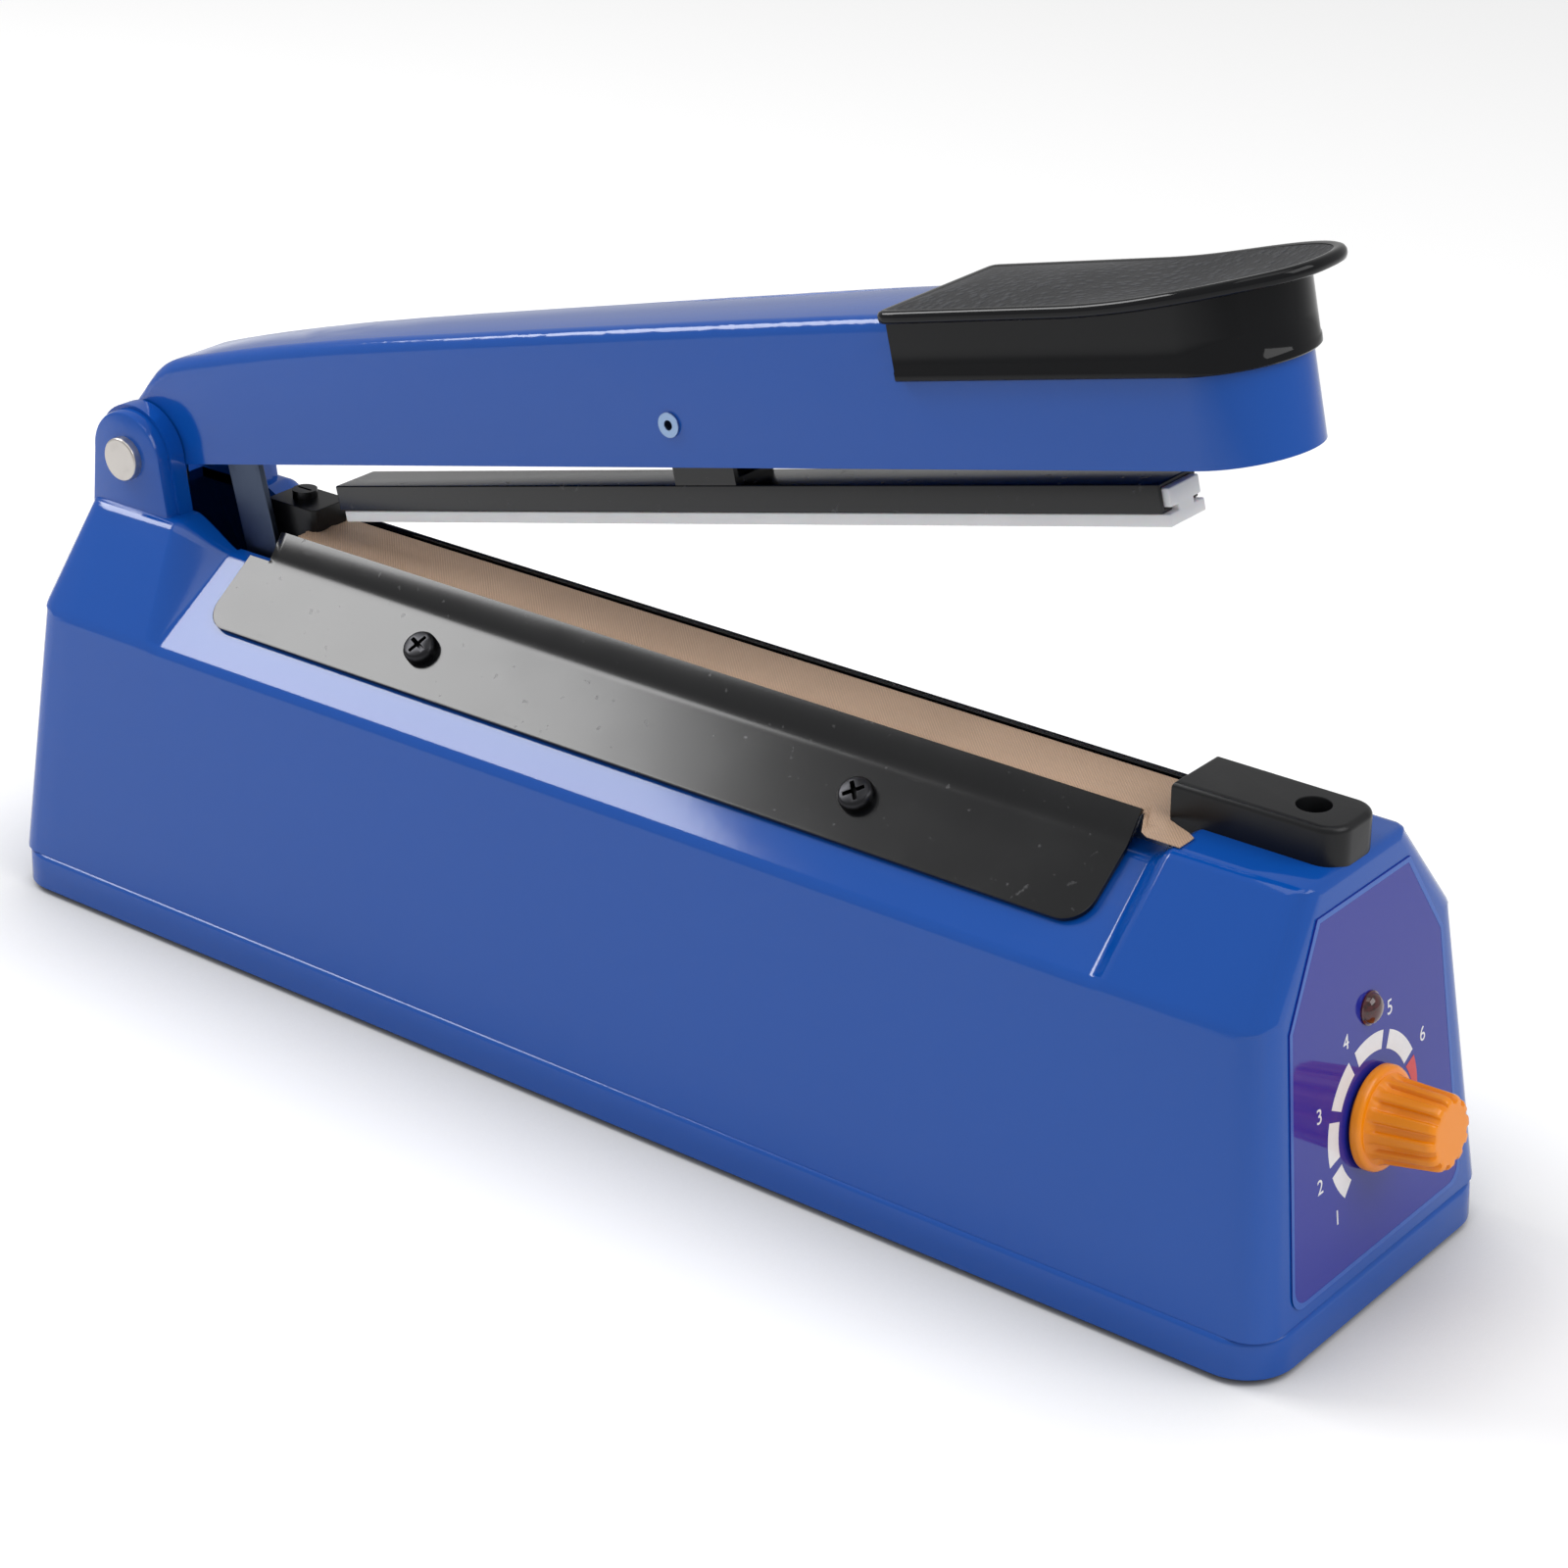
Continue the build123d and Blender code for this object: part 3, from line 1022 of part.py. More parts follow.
def main():
    os.makedirs("parts", exist_ok=True)
    for name, make in PIECES.items():
        shape = make()
        if in_arm(name):
            shape = arm_place(shape)
        if in_bar(name):
            shape = bar_place(shape)
        save(name, shape)
    for number, (x, y) in enumerate(foot_places(), 1):
        save(f"rubber_foot_{number}", rubber_foot(x, y))
    for number, (x, y, _) in enumerate(screw_bosses(), 1):
        save(f"cover_screw_{number}", cover_screw(x, y))
    for side, word in ((-1, "near"), (1, "far")):
        for number, x in enumerate(clamp_screw_places(), 1):
            save(f"clamp_screw_{word}_{number}", clamp_screw(x, side))
    for number, piece in enumerate(inside_wires(), 1):
        save(f"inside_wire_{number}", piece)
    for number, dx in enumerate((-11, 11), 1):
        save(f"switch_screw_{number}", switch_screw(dx))
    for name, piece in zip(("board_relay", "board_capacitor", "board_triac"), board_parts()):
        save(name, piece)
    print("arm travel", round(ARM_TRAVEL_DEG, 3), "bar rock", round(BAR_ROCK_DEG, 3),
          "origin", round(ORIGIN_X, 3), "pin", round(PIN_X - ORIGIN_X, 3), PIN_HEIGHT + FOOT_PROUD)


main()
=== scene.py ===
import json
from math import cos, pi, radians, sin, tau

import bmesh
import bpy
from bpy.props import FloatProperty, FloatVectorProperty, PointerProperty
from mathutils import Matrix, Vector, noise


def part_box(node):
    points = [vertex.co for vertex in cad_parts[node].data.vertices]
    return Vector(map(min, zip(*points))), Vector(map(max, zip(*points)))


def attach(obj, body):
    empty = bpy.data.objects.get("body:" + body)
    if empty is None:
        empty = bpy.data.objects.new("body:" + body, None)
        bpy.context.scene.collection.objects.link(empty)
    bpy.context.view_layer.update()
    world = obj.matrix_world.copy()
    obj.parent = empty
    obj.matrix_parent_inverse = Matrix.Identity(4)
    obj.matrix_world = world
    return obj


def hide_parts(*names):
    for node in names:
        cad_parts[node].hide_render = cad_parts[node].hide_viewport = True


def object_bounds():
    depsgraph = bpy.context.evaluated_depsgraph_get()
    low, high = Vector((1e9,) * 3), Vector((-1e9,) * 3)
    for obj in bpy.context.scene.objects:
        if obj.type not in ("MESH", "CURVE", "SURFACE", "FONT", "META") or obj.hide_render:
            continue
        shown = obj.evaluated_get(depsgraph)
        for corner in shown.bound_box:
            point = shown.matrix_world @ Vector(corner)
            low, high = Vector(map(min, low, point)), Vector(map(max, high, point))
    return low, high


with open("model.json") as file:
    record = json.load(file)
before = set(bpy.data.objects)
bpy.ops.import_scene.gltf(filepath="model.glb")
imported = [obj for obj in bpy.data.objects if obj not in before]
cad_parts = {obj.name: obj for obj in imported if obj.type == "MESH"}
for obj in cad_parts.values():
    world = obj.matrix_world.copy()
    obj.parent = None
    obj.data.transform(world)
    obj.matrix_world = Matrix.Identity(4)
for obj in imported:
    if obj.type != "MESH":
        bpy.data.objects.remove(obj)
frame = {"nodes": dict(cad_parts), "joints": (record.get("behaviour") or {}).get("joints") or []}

# A hand-lever impulse heat sealer, laid out as an add-on and run as a script.
# Everything is in the frame's own axes: +X to the timer knob, -Y to the user,
# +Z up. Shapes are drawn in millimetres in the frames of the pieces that carry
# them (base, arm, bar, timer end) and then put in place in metres.

bl_info = {
    "name": "Impulse heat sealer",
    "version": (1, 0, 0),
    "blender": (4, 5, 0),
    "location": "View3D > Sidebar > Sealer",
    "description": "Builds a hand-lever impulse heat sealer on its packed frame",
    "category": "Object",
}

CAD_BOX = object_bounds()
MM = 0.001
JOINTS = {joint["name"]: joint for joint in frame["joints"]}

# ---- places read from the frame ----
TRAY_LOW, TRAY_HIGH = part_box("bottom_cover")
PIN = Vector(JOINTS["arm_hinge"]["pos_m"])
RIVET = Vector(JOINTS["bar_rock"]["pos_m"])
DIAL = Vector(JOINTS["knob_turn"]["pos_m"])
DIAL_AXIS = Vector(JOINTS["knob_turn"]["axis"])
MIDDLE_X = (TRAY_LOW.x + TRAY_HIGH.x) / 2
PIN_X, PIN_Z = (PIN.x - MIDDLE_X) / MM, (PIN.z - TRAY_LOW.z) / MM
CLOTH_TOP = (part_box("ptfe_cloth")[1].z - TRAY_LOW.z) / MM
BASE = Matrix.Translation((MIDDLE_X, 0, TRAY_LOW.z)) @ Matrix.Scale(MM, 4)
ARM_OPEN = radians(13.1)
BAR_OPEN = radians(13.4)
END_DRAFT = radians(6.7)
ARM = Matrix.Translation(PIN) @ Matrix.Rotation(-ARM_OPEN, 4, "Y") @ Matrix.Scale(MM, 4)
BAR = Matrix.Translation(RIVET) @ Matrix.Rotation(-BAR_OPEN, 4, "Y") @ Matrix.Scale(MM, 4)


def span(node):
    """Where a CAD node starts and ends along the base, in millimetres."""
    return [(corner.x - MIDDLE_X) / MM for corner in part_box(node)]


def end_face_place():
    """The timer end's face about the knob: X across it, Y up it, Z out of it."""
    out = DIAL_AXIS.normalized()
    across = Vector((0, 1, 0))
    up = out.cross(across)
    turn = Matrix((across, up, out)).transposed().to_4x4()
    return Matrix.Translation(DIAL) @ turn @ Matrix.Scale(MM, 4)


END = end_face_place()


# ------------------------------------------------------------ sizes and colours

def millimetres(name, description, default):
    return FloatProperty(name=name, description=description, default=default * MM,
                         min=0.0, unit="LENGTH", subtype="DISTANCE", precision=5)


def colour(name, description, default):
    return FloatVectorProperty(name=name, description=description, default=default,
                               size=3, min=0.0, max=1.0, subtype="COLOR")


class SealerSizes(bpy.types.PropertyGroup):
    """Sizes that a user would change."""
    corner_round: millimetres("Corner rounding", "Rounding of the base's upright corners", 10.0)
    wall: millimetres("Wall", "Wall thickness of the moulded base", 2.4)
    crest_width: millimetres("Saddle width", "Width of the flat top that carries the bed", 26.0)
    tower_width: millimetres("Tower width", "Width of the flat top of each end tower", 37.0)
    cap_overhang: millimetres("Handle lip", "How far the palm pad stands out past its skirt", 2.6)
    flute_depth: millimetres("Flute depth", "Depth of the grooves in the timer knob", 0.95)
    weave_pitch: millimetres("Weave pitch", "Spacing of the threads in the non-stick cloth", 0.72)


class SealerColours(bpy.types.PropertyGroup):
    """Colours of the finishes."""
    body: colour("Body", "Blue of the moulded base and arm", (0.003, 0.078, 0.400))
    panel: colour("Panel", "Indigo of the timer panel", (0.014, 0.022, 0.300))
    knob: colour("Knob", "Orange of the timer knob", (0.92, 0.275, 0.002))
    black: colour("Black", "Black of the handle, cap and plates", (0.0035, 0.0038, 0.0048))
    cloth: colour("Cloth", "Tan of the non-stick cloth", (0.55, 0.36, 0.235))
    silicone: colour("Silicone", "Pale grey of the pressure strip", (0.84, 0.84, 0.85))


def sizes():
    return bpy.context.scene.sealer_sizes


def colours():
    return bpy.context.scene.sealer_colours


# ------------------------------------------------------------ node trees

def math_node(operation, flipped=False):
    """A method of Link that adds one Math node."""

    def method(self, *others):
        values = (*others, self) if flipped else (self, *others)
        return Graph(self.tree).node("ShaderNodeMath", {"operation": operation},
                                     dict(enumerate(values)))

    return method


class Link:
    """A socket whose sums and products add Math nodes."""
    __add__, __radd__ = math_node("ADD"), math_node("ADD", True)
    __sub__, __rsub__ = math_node("SUBTRACT"), math_node("SUBTRACT", True)
    __mul__, __rmul__ = math_node("MULTIPLY"), math_node("MULTIPLY", True)
    sine = math_node("SINE")

    def __init__(self, tree, socket):
        self.tree, self.socket = tree, socket

    def between(self, low, high):
        """0 below low, 1 above high, smooth in between."""
        return Graph(self.tree).node(
            "ShaderNodeMapRange", {"interpolation_type": "SMOOTHSTEP"},
            {"Value": self, "From Min": low, "From Max": high})


class Graph:
    """Adds nodes to a tree: a node's type, its settings, then its inputs."""

    def __init__(self, tree):
        self.tree = tree

    def node(self, kind, settings=None, inputs=None, output=0):
        made = self.tree.nodes.new(kind)
        for name, value in (settings or {}).items():
            setattr(made, name, value)
        for name, value in (inputs or {}).items():
            self.plug(made.inputs[name], value)
        return Link(self.tree, made.outputs[output])

    def plug(self, socket, value):
        if isinstance(value, Link):
            self.tree.links.new(value.socket, socket)
        else:
            socket.default_value = value


class Finish(Graph):
    """A material built round one Principled shader."""

    def __init__(self, name, base, roughness, metallic=0.0, coat=0.0, **constants):
        material = bpy.data.materials.new(name)
        material.use_nodes = True
        super().__init__(material.node_tree)
        self.material = material
        self.shader = next(n for n in self.tree.nodes if n.type == "BSDF_PRINCIPLED")
        self.base = tuple(base)
        self.set("Base Color", (*base, 1.0))
        self.set("Roughness", roughness)
        self.set("Metallic", metallic)
        self.set("Coat Weight", coat)
        self.set("Coat Roughness", 0.04)
        for socket, value in constants.items():
            self.set(socket.replace("_", " "), value)

    def set(self, socket, value):
        self.plug(self.shader.inputs[socket], value)

    def place(self):
        return self.node("ShaderNodeTexCoord", output="Object")

    def axes(self):
        split = self.node("ShaderNodeSeparateXYZ", {}, {0: self.place()}).socket.node
        return [Link(self.tree, split.outputs[i]) for i in range(3)]

    def noise(self, scale, detail=2.0, vector=None, rough=0.5):
        return self.node("ShaderNodeTexNoise", {"noise_dimensions": "3D"},
                         {"Vector": vector or self.place(), "Scale": scale, "Detail": detail,
                          "Roughness": rough})

    def stretched(self, factors):
        return self.node("ShaderNodeMapping", {}, {"Vector": self.place(), "Scale": factors})

    def cells(self, scale, feature="F1", vector=None):
        return self.node("ShaderNodeTexVoronoi", {"feature": feature},
                         {"Vector": vector or self.place(), "Scale": scale})

    def mix(self, share, low, high):
        rgba = [c if isinstance(c, Link) else (*c, 1.0) for c in (low, high)]
        made = self.tree.nodes.new("ShaderNodeMix")
        made.data_type = "RGBA"
        self.plug(made.inputs[0], share)
        self.plug(made.inputs[6], rgba[0])
        self.plug(made.inputs[7], rgba[1])
        return Link(self.tree, made.outputs[2])

    def times(self, factor):
        return tuple(min(1.0, c * factor) for c in self.base)

    def shade(self, share, low, high):
        """Base colour between two multiples of itself."""
        self.set("Base Color", self.mix(share, self.times(low), self.times(high)))

    def tint(self, share, change):
        """Base colour that drifts by a small factor over the surface."""
        self.shade(share, 1 - change, 1 + change)

    def bump(self, height, distance, strength=1.0):
        self.set("Normal", self.node("ShaderNodeBump", {}, {
            "Height": height, "Distance": distance, "Strength": strength}))


def moulded_gloss(name, base, roughness=0.11, peel=0.000006, specular=0.5):
    """Glossy injection-moulded plastic: faint peel, sink and handling haze."""
    finish = Finish(name, base, roughness, Specular_IOR_Level=specular)
    finish.tint(finish.noise(9.0, 3.0), 0.04)
    haze = finish.noise(34.0, 4.0).between(0.35, 0.75)
    scuffs = finish.noise(16.0, 6.0, finish.stretched((2.0, 22.0, 22.0))).between(0.60, 0.78)
    finish.set("Roughness", haze * 0.03 + scuffs * 0.04 + (roughness - 0.02))
    finish.bump(finish.noise(420.0, 2.0) + finish.noise(70.0, 1.0) * 2.0, peel)
    return finish.material


def grained_pad(name, base):
    """Black plastic with a fine pebbled leather grain, polished by the palm."""
    finish = Finish(name, base, 0.42, Specular_IOR_Level=0.6)
    pebbles = finish.cells(560.0).between(0.05, 0.62)
    fine = finish.cells(1300.0).between(0.0, 0.6)
    worn = finish.noise(26.0, 3.0).between(0.42, 0.72)
    finish.set("Roughness", 0.46 - worn * 0.10 + pebbles * 0.06)
    # Base colour paler on the raised pebbles and darker in the hollows between them: painted
    # highlight and painted shade that follow the grain's relief.
    finish.shade(pebbles, 7.0, 2.4)
    finish.bump(pebbles * -1.0 - fine * 0.3, 0.00026, 0.9)
    return finish.material


def satin_black(name, base, roughness=0.36):
    """Satin moulded black with a fine spark texture and light rubbing."""
    finish = Finish(name, base, roughness, Specular_IOR_Level=0.36)
    rubbed = finish.noise(60.0, 4.0).between(0.5, 0.8)
    finish.tint(finish.noise(25.0), 0.25)
    finish.set("Roughness", roughness + rubbed * -0.10)
    finish.bump(finish.noise(1400.0, 2.0), 0.000008)
    return finish.material


def enamel(name, base, roughness=0.16):
    """Glossy black enamel on sheet steel, with faint rubbing and a few hair marks."""
    finish = Finish(name, base, roughness)
    marks = finish.noise(24.0, 10.0, finish.stretched((3.0, 40.0, 40.0))).between(0.70, 0.76)
    dust = finish.noise(420.0, 6.0).between(0.66, 0.74)
    haze = finish.noise(40.0, 3.0).between(0.4, 0.9)
    finish.set("Roughness", marks * 0.08 + haze * 0.05 + dust * 0.12 + roughness)
    finish.set("Base Color", finish.mix(dust * 0.35, base, (0.10, 0.10, 0.105)))
    finish.bump(finish.noise(14.0, 1.0), 0.00002)
    return finish.material


def brushed_metal(name, base, roughness=0.3, along=(8.0, 260.0, 260.0)):
    """Plated steel with fine brushing and a few darker stains."""
    finish = Finish(name, base, roughness, metallic=1.0)
    brush = finish.noise(12.0, 5.0, finish.stretched(along))
    stains = finish.noise(120.0, 4.0).between(0.55, 0.8)
    finish.shade(stains, 1.0, 0.72)
    finish.set("Roughness", brush * 0.16 + (roughness - 0.06) + stains * 0.12)
    finish.bump(brush, 0.00001)
    return finish.material


def coated_cloth(name, base):
    """Non-stick glass cloth: a plain weave under a thin waxy coating."""
    finish = Finish(name, base, 0.5, Sheen_Weight=0.12)
    turns = tau / sizes().weave_pitch
    x, y, z = finish.axes()
    warp = (x * turns).sine()
    weft = ((y + z * 0.7) * turns).sine()
    weave = warp * weft
    # The colour follows the weave's relief: darker where the threads dip and paler on their crowns,
    # painted shade and painted highlight; the blotches are the cloth's own.
    thread = (weave * 0.5 + 0.5).between(0.2, 0.9)
    blotch = finish.noise(30.0, 4.0).between(0.35, 0.75)
    dark = finish.mix(blotch, finish.times(0.70), finish.times(0.86))
    pale = finish.mix(blotch, base, finish.times(1.18))
    finish.set("Base Color", finish.mix(thread, dark, pale))
    finish.set("Roughness", 0.56 - blotch * 0.14)
    finish.bump(weave + finish.noise(900.0) * 0.6, 0.00007, 0.8)
    return finish.material


def cast_silicone(name, base):
    """Pale silicone rubber, slightly translucent and dusty."""
    finish = Finish(name, base, 0.5, Subsurface_Weight=0.12, Subsurface_Scale=0.002)
    finish.tint(finish.noise(120.0, 3.0), 0.07)
    finish.set("Roughness", finish.noise(300.0).between(0.3, 0.7) * 0.12 + 0.42)
    finish.bump(finish.noise(700.0, 3.0), 0.00003)
    return finish.material


def moulded_rubber(name, base):
    """Matt black rubber."""
    finish = Finish(name, base, 0.7)
    finish.tint(finish.noise(200.0, 3.0), 0.3)
    finish.bump(finish.noise(1800.0, 2.0), 0.00005)
    return finish.material


def lamp_lens(name, base):
    """Dark red moulded lens with fine ribs of light inside."""
    finish = Finish(name, base, 0.08, coat=0.7)
    # Cells of paler and darker red: painted light caught in the lens's ribs, not a lit lamp.
    finish.shade(finish.cells(900.0).between(0.1, 0.6), 0.5, 1.8)
    finish.bump(finish.noise(300.0), 0.00001)
    return finish.material


def printed(name, base, roughness=0.28):
    """Screen-printed ink: a slightly uneven flat film."""
    finish = Finish(name, base, roughness, coat=0.2)
    finish.tint(finish.noise(700.0, 3.0), 0.05)
    finish.bump(finish.noise(1500.0), 0.000008)
    return finish.material


LAP_PITCH, SHEET_PITCH, TRACK_PITCH = 0.006, 0.001, (0.008, 0.006)


def wound_tape(name, base):
    """Tape wound in even laps."""
    finish = Finish(name, base, 0.35)
    _, _, z = finish.axes()
    laps = (z * (tau / LAP_PITCH)).sine().between(0.85, 0.99)
    finish.shade(laps, 1.0, 0.55)
    finish.bump(laps, 0.0002)
    return finish.material


def stacked_steel(name, base):
    """A stack of thin steel sheets, seen on edge."""
    finish = Finish(name, base, 0.5, metallic=0.6)
    _, y, _ = finish.axes()
    sheets = (y * (tau / SHEET_PITCH)).sine()
    finish.tint(finish.noise(150.0, 3.0), 0.3)
    finish.bump(sheets, 0.0001)
    return finish.material


def board_mask(name, base):
    """A circuit board's lacquer, paler over its tracks."""
    finish = Finish(name, base, 0.3)
    _, y, z = finish.axes()
    across, up = ((axis * (tau / pitch)).sine() for axis, pitch in zip((y, z), TRACK_PITCH))
    tracks = (across * up).between(0.3, 0.4)
    finish.shade(tracks, 1.0, 2.2)
    finish.bump(tracks, 0.00004)
    return finish.material


MATERIALS = {}


def make_materials():
    """Every finish, by the name that the pieces ask for."""
    c = colours()
    black = tuple(c.black)
    MATERIALS.update(
        body=moulded_gloss("body_gloss", tuple(c.body)),
        tray=moulded_gloss("tray_gloss", tuple(v * 0.97 for v in c.body), 0.18),
        skirt=moulded_gloss("handle_skirt_gloss", black, 0.08, specular=0.26),
        pad=grained_pad("handle_pad_grain", black),
        black=satin_black("satin_black", black),
        enamel=enamel("black_enamel", tuple(v * 0.8 for v in c.black)),
        bar=enamel("bar_enamel", black, 0.24),
        nickel=brushed_metal("plated_steel", (0.60, 0.57, 0.54), 0.32, (260.0, 8.0, 260.0)),
        strut=brushed_metal("strut_steel", (0.07, 0.09, 0.135), 0.34, (200.0, 200.0, 8.0)),
        rivet=brushed_metal("rivet_steel", (0.30, 0.42, 0.62), 0.30),
        screw=brushed_metal("blackened_screw", (0.035, 0.035, 0.038), 0.3),
        aluminium=brushed_metal("extruded_aluminium", (0.62, 0.63, 0.64), 0.34),
        ribbon=brushed_metal("element_ribbon", (0.55, 0.50, 0.45), 0.35),
        cloth=coated_cloth("nonstick_cloth", tuple(c.cloth)),
        silicone=cast_silicone("silicone_strip", tuple(c.silicone)),
        rubber=moulded_rubber("black_rubber", (0.018, 0.018, 0.018)),
        knob=moulded_gloss("knob_orange", tuple(c.knob), 0.24),
        lens=lamp_lens("lamp_lens", (0.040, 0.004, 0.005)),
        panel=moulded_gloss("panel_indigo", tuple(c.panel), 0.08, 0.000002),
        ink_white=printed("ink_white", (0.80, 0.81, 0.84)),
        ink_red=printed("ink_red", (0.62, 0.022, 0.030)),
        ink_blue=printed("ink_blue", (0.012, 0.10, 0.46)),
        tape=wound_tape("coil_tape", (0.62, 0.42, 0.06)),
        core=stacked_steel("core_steel", (0.16, 0.16, 0.17)),
        board=board_mask("board_green", (0.02, 0.16, 0.06)),
        white=satin_black("white_plastic", (0.72, 0.72, 0.70), 0.4),
        wire=moulded_gloss("wire_cover", (0.40, 0.015, 0.012), 0.35, 0.00001),
        plunger=moulded_gloss("plunger_red", (0.55, 0.03, 0.02), 0.3, 0.00001),
        sleeve=moulded_gloss("capacitor_sleeve", (0.03, 0.05, 0.20), 0.3, 0.00001),
    )


# ------------------------------------------------------------ mesh helpers

def smoothstep(value):
    """0 below 0, 1 above 1, smooth in between."""
    value = max(0.0, min(1.0, value))
    return value * value * (3 - 2 * value)


def bridge(mesh, rings, closed=True, start=True, end=True):
    """Quads between rings of as many points; closed rings may get end faces."""
    loops = [[mesh.verts.new(point) for point in ring] for ring in rings]
    count = len(loops[0])
    for low, high in zip(loops, loops[1:]):
        for i in range(count if closed else count - 1):
            j = (i + 1) % count
            mesh.faces.new((low[i], low[j], high[j], high[i]))
    if start:
        mesh.faces.new(loops[0][::-1])
    if end:
        mesh.faces.new(loops[-1])
    return loops


def linked(name, data):
    """A new object in the scene."""
    made = bpy.data.objects.new(name, data)
    bpy.context.scene.collection.objects.link(made)
    return made


def as_data(name, mesh):
    """A bmesh as mesh data; the bmesh is freed."""
    data = bpy.data.meshes.new(name)
    mesh.to_mesh(data)
    mesh.free()
    return data


def facing_out(mesh, place=Matrix()):
    """The bmesh put in its place, with its faces outward."""
    bmesh.ops.transform(mesh, matrix=place, verts=mesh.verts)
    bmesh.ops.recalc_face_normals(mesh, faces=mesh.faces)
    return mesh


def evaluated(made):
    """What an object's modifiers make of it, as new mesh data."""
    graph = bpy.context.evaluated_depsgraph_get()
    return bpy.data.meshes.new_from_object(made.evaluated_get(graph))


def eased(width, segments, angle):
    """A bevel modifier for the edges that are sharper than an angle."""
    return ("BEVEL", {"width": width * MM, "segments": segments, "limit_method": "ANGLE",
                      "angle_limit": radians(angle)})


def piece(name, mesh, material, body, place, replaces=(), angle=32.0, modifiers=()):
    """Turn a bmesh in millimetres into a finished piece on a body."""
    bmesh.ops.remove_doubles(mesh, verts=mesh.verts, dist=0.0004)
    made = linked(name, as_data(name, facing_out(mesh, place)))
    return settle(made, material, body, replaces, angle, modifiers)


def settle(made, material, body, replaces=(), angle=32.0, modifiers=()):
    """Apply what modifies a piece, smooth it, dress it and put it on its body."""
    for kind, settings in modifiers:
        added = made.modifiers.new(kind.title(), kind)
        for key, value in settings.items():
            setattr(added, key, value)
    if made.modifiers:
        data = evaluated(made)
        made.modifiers.clear()
        made.data = data
    made.data.name = made.name
    if not made.data.materials:
        made.data.materials.append(MATERIALS[material])
    for index, held in enumerate(made.data.materials):
        if held is None:
            made.data.materials[index] = MATERIALS[material]
    smoothed(made, angle)
    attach(made, body)
    if replaces:
        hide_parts(*replaces)
    return made


def smoothed(made, angle):
    """Smooth shading, with edges sharper than an angle left sharp."""
    made.data.shade_smooth()
    made.data.set_sharp_from_angle(angle=radians(angle))


def softened(node, name, material, body, slot, round_edges=0.0, angle=32.0):
    """A merged copy of a CAD node with clean normals and eased edges."""
    mesh = bmesh.new()
    mesh.from_mesh(frame["nodes"][node].data)
    bmesh.ops.remove_doubles(mesh, verts=mesh.verts, dist=1e-6)
    bmesh.ops.dissolve_limit(mesh, angle_limit=radians(0.6), verts=mesh.verts, edges=mesh.edges)
    made = linked(name, as_data(name, mesh))
    return settle(made, material, body, (node,), angle,
                  [eased(round_edges, 2, 38)] if round_edges else [])


def rounded_loop(half_x, half_y, radius, count=8, z=0.0):
    """A rounded rectangle, anticlockwise from above."""
    points = []
    for sx, sy, start in ((1, -1, -90), (1, 1, 0), (-1, 1, 90), (-1, -1, 180)):
        for step in range(count + 1):
            turn = radians(start + 90 * step / count)
            points.append(Vector((sx * (half_x - radius) + radius * cos(turn),
                                  sy * (half_y - radius) + radius * sin(turn), z)))
    return points


def circle(radius, z, count, x=0.0, y=0.0):
    return [Vector((x + radius * cos(tau * i / count), y + radius * sin(tau * i / count), z))
            for i in range(count)]


def box_mesh(low, high):
    mesh = bmesh.new()
    bridge(mesh, [[Vector((low[0], low[1], z)), Vector((high[0], low[1], z)),
                   Vector((high[0], high[1], z)), Vector((low[0], high[1], z))]
                  for z in (low[2], high[2])])
    return mesh


def cut(target, cutters):
    """Boolean each (bmesh, place) out of the target's mesh."""
    for mesh, place in cutters:
        tool = linked("cutter", as_data("cutter", facing_out(mesh, place)))
        added = target.modifiers.new("Cut", "BOOLEAN")
        added.operation = "DIFFERENCE"
        added.solver = "EXACT"
        added.object = tool
        data = evaluated(target)
        target.modifiers.clear()
        target.data = data
        bpy.data.objects.remove(tool)


# ------------------------------------------------------------ geometry nodes

def stamp_tree(name, source, settings):
    """A tree that stands a copy of source on each point, turned to its normal."""
    tree = bpy.data.node_groups.new(name, "GeometryNodeTree")
    tree.interface.new_socket("Geometry", in_out="INPUT", socket_type="NodeSocketGeometry")
    for label in settings:
        tree.interface.new_socket(label, in_out="INPUT", socket_type="NodeSocketFloat")
    tree.interface.new_socket("Material", in_out="INPUT", socket_type="NodeSocketMaterial")
    tree.interface.new_socket("Geometry", in_out="OUTPUT", socket_type="NodeSocketGeometry")
    graph = Graph(tree)
    group_in = tree.nodes.new("NodeGroupInput")
    group_out = tree.nodes.new("NodeGroupOutput")
    asked = {label: Link(tree, group_in.outputs[label])
             for label in ("Geometry", *settings, "Material")}
    shape = graph.node("GeometryNodeObjectInfo", {"transform_space": "ORIGINAL"},
                       {"Object": source}, "Geometry")
    normal = graph.node("GeometryNodeInputNamedAttribute", {"data_type": "FLOAT_VECTOR"},
                        {"Name": "stamp_normal"}, "Attribute")
    lean = graph.node("FunctionNodeAlignEulerToVector", {"axis": "Z"}, {"Vector": normal})
    chance = graph.node("FunctionNodeRandomValue", {"data_type": "FLOAT"},
                        {"Min": 0.0, "Max": asked["Turn"], "Seed": 7}, 1)
    spin = graph.node("ShaderNodeCombineXYZ", {}, {"Z": chance})
    turned = graph.node("FunctionNodeRotateEuler", {"space": "LOCAL"},
                        {"Rotation": lean, "Rotate By": spin})
    stood = graph.node("GeometryNodeInstanceOnPoints", {}, {
        "Points": asked["Geometry"], "Instance": shape, "Rotation": turned, "Scale": asked["Size"]})
    real = graph.node("GeometryNodeRealizeInstances", {}, {0: stood})
    dressed = graph.node("GeometryNodeSetMaterial", {},
                         {"Geometry": real, "Material": asked["Material"]})
    tree.links.new(dressed.socket, group_out.inputs[0])
    return tree


